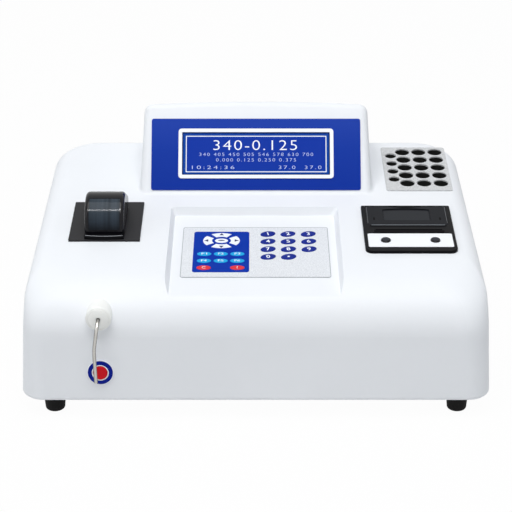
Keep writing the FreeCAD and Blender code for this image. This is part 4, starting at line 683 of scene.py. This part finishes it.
# Black pads paint the shade of the two slots
for number, slot_x in enumerate(LID_SLOTS, start=1):
    outline = rounded_box(slot_x - LID_SLOT_HALF, slot_x + LID_SLOT_HALF, *LID_SLOT_SPAN, 0.4)
    pad("lid_slot_%d" % number, outline, LID_SLOT_RINGS, finish="painted_slot_shade", **ON_LID)
for name, body, key_x in BUTTONS:
    pad(name + "_cap", oval(key_x, BUTTONS_U, CAP_RADIUS, CAP_RADIUS), CAP_RINGS, on_deck, "button_dark",
        body, "printer_black")

# Reader: bright bead along the bowed front of the collar, a painted highlight of its edge
COLLAR_X = -133.1
COLLAR_HALF = 17.4
COLLAR_FRONT = 96.1
COLLAR_BULGE = 1.5
COLLAR_TOP = 5.0
BEAD_HALF = COLLAR_HALF - 1.0
BEAD_STEPS = 24
BEAD_SIDES = 6
BEAD_RADIUS = 0.26
BEAD_BACK = 0.28
BEAD_LIFT = 0.02
bow = (COLLAR_HALF ** 2 + COLLAR_BULGE ** 2) / (2 * COLLAR_BULGE)
points = []
for step in range(BEAD_STEPS + 1):
    along = 2 * BEAD_HALF * step / BEAD_STEPS - BEAD_HALF
    bead_u = COLLAR_FRONT + bow - math.sqrt(bow ** 2 - along ** 2) + BEAD_BACK
    for side in range(BEAD_SIDES):
        angle = FULL_TURN * side / BEAD_SIDES
        points.append(on_deck(COLLAR_X + along, bead_u + BEAD_RADIUS * cos(angle),
                              COLLAR_TOP + BEAD_LIFT + BEAD_RADIUS * sin(angle)))
make_piece("collar_highlight_bead", points, capped_faces(BEAD_SIDES, BEAD_STEPS + 1), "bead_highlight_grey", "base",
           smooth=True)


# Front: domed face of the sipper's boss, and the white ring round the aspirate button. Places are
# (x, up) on the front, and profiles are (radius, distance out).
BOSS = (-130.5, 78.5)
BOSS_PROFILE = [(9.2, 6.38), (8.4, 6.68), (7.2, 7.0), (5.6, 7.3), (4.0, 7.48), (2.6, 7.56), (1.9, 7.5),
                (1.75, 7.3), (1.75, 6.38)]
ASPIRATE = (-130.9, 27.5)
ASPIRATE_PROFILE = [(7.15, 0.8), (7.15, 1.5), (7.1, 1.65), (6.4, 1.65), (6.3, 1.5), (6.3, 0.8)]


def front_ring(name, x, up, profile, finish):
    """A closed ring turned on the front."""
    points = []
    for radius, out in profile:
        for step in range(RING_TURNS):
            angle = FULL_TURN * step / RING_TURNS
            points.append(on_front(x + radius * cos(angle), up + radius * sin(angle), out))
    faces = looped_faces(RING_TURNS, len(profile))
    make_piece(name, points, faces, finish, "base", smooth=True)


front_ring("boss_dome", *BOSS, BOSS_PROFILE, "trim")
front_ring("aspirate_white_ring", *ASPIRATE, ASPIRATE_PROFILE, "bright_white")


# Floor, light and camera. The floor and the lamps are placed in metres, and the camera in the
# millimetres of the part's source.
FLOOR_HALF = 8
FLOOR_COLOR = (0.76, 0.76, 0.76, 1)
FLOOR_ROUGHNESS = 0.9
FLOOR_WHITE_SHARE = 0.97
SKY_COLOR = (0.94, 0.97, 1.0, 1)
SKY_STRENGTH = 0.42
SENSOR_WIDTH = 36.0
PHOTO_WIDTH_PIXELS = 512
FOCAL_PIXELS = 1639.9
CAMERA_PLACE = (0.0, -1231.6, 672.4)
CAMERA_DOWN = 22.989
CAMERA_NEAR, CAMERA_FAR = 0.05, 50.0
# Place, target, width and depth in metres, and power in watts
TOP_LIGHT = ((-0.15, -0.56, 2.02), (0, 0, 0.1), 1.5, 1.5, 32.0)
STRIP_LIGHT = ((-0.12, -0.97, 1.83), (-0.1, 0, 0.13), 1.3, 0.02, 26.0)
LEFT_LIGHT = ((-1.8, -0.6, 1.0), (0, 0, 0.1), 0.8, 0.8, 3.0)


def white_to_the_eye(tree, white_kind, surface, target, share):
    """The surface shows as white, in this share, where the camera, gloss or glass sees it."""
    white = tree.nodes.new(white_kind)
    white.inputs["Color"].default_value = (1, 1, 1, 1)
    white.inputs["Strength"].default_value = 1.0
    path = tree.nodes.new("ShaderNodeLightPath")
    seen = path.outputs["Is Camera Ray"]
    for ray in ("Is Glossy Ray", "Is Transmission Ray"):
        either = tree.nodes.new("ShaderNodeMath")
        either.operation = "MAXIMUM"
        tree.links.new(seen, either.inputs[0])
        tree.links.new(path.outputs[ray], either.inputs[1])
        seen = either.outputs[0]
    part = tree.nodes.new("ShaderNodeMath")
    part.operation = "MULTIPLY"
    part.inputs[1].default_value = share
    tree.links.new(seen, part.inputs[0])
    mix = tree.nodes.new("ShaderNodeMixShader")
    tree.links.new(part.outputs[0], mix.inputs[0])
    tree.links.new(surface, mix.inputs[1])
    tree.links.new(white.outputs[0], mix.inputs[2])
    tree.links.new(mix.outputs[0], target)


floor_mesh = bpy.data.meshes.new("floor")
floor_mesh.from_pydata([(-FLOOR_HALF, -FLOOR_HALF, 0), (FLOOR_HALF, -FLOOR_HALF, 0),
                        (FLOOR_HALF, FLOOR_HALF, 0), (-FLOOR_HALF, FLOOR_HALF, 0)], [], [(0, 1, 2, 3)])
floor = bpy.data.objects.new("floor", floor_mesh)
bpy.context.scene.collection.objects.link(floor)
floor_paint = bpy.data.materials.new("floor_paint")
floor_paint.use_nodes = True
floor_tree = floor_paint.node_tree
floor_surface = floor_tree.nodes["Principled BSDF"]
floor_surface.inputs["Base Color"].default_value = FLOOR_COLOR
floor_surface.inputs["Roughness"].default_value = FLOOR_ROUGHNESS
floor_surface.inputs["Specular IOR Level"].default_value = 0.0
white_to_the_eye(floor_tree, "ShaderNodeEmission", floor_surface.outputs[0],
                 floor_tree.nodes["Material Output"].inputs["Surface"], FLOOR_WHITE_SHARE)
floor_mesh.materials.append(floor_paint)


def area_light(name, place, target, width, depth, power):
    lamp = bpy.data.lights.new(name, "AREA")
    lamp.shape = "RECTANGLE"
    lamp.size = width
    lamp.size_y = depth
    lamp.energy = power
    carrier = bpy.data.objects.new(name, lamp)
    carrier.location = place
    direction = Vector(target) - Vector(place)
    carrier.rotation_euler = direction.to_track_quat("-Z", "Y").to_euler()
    bpy.context.scene.collection.objects.link(carrier)
    return carrier


area_light("top_light", *TOP_LIGHT)
# The strip only draws the highlights on gloss
strip_light = area_light("strip_light", *STRIP_LIGHT)
strip_light.visible_diffuse = False
area_light("left_light", *LEFT_LIGHT)

world = bpy.data.worlds.new("studio")
bpy.context.scene.world = world
world.use_nodes = True
world_tree = world.node_tree
world_tree.nodes.clear()
world_output = world_tree.nodes.new("ShaderNodeOutputWorld")
sky = world_tree.nodes.new("ShaderNodeBackground")
sky.inputs["Color"].default_value = SKY_COLOR
sky.inputs["Strength"].default_value = SKY_STRENGTH
white_to_the_eye(world_tree, "ShaderNodeBackground", sky.outputs[0], world_output.inputs["Surface"], 1.0)

camera_data = bpy.data.cameras.new("camera")
camera_data.sensor_width = SENSOR_WIDTH
camera_data.lens = FOCAL_PIXELS / PHOTO_WIDTH_PIXELS * SENSOR_WIDTH
camera_data.clip_start = CAMERA_NEAR
camera_data.clip_end = CAMERA_FAR
camera = bpy.data.objects.new("camera", camera_data)
camera.location = to_row(*CAMERA_PLACE)
camera.rotation_euler = (math.radians(RIGHT_ANGLE - CAMERA_DOWN), 0, 0)
bpy.context.scene.collection.objects.link(camera)
bpy.context.scene.camera = camera
bpy.context.scene.view_settings.view_transform = "Standard"
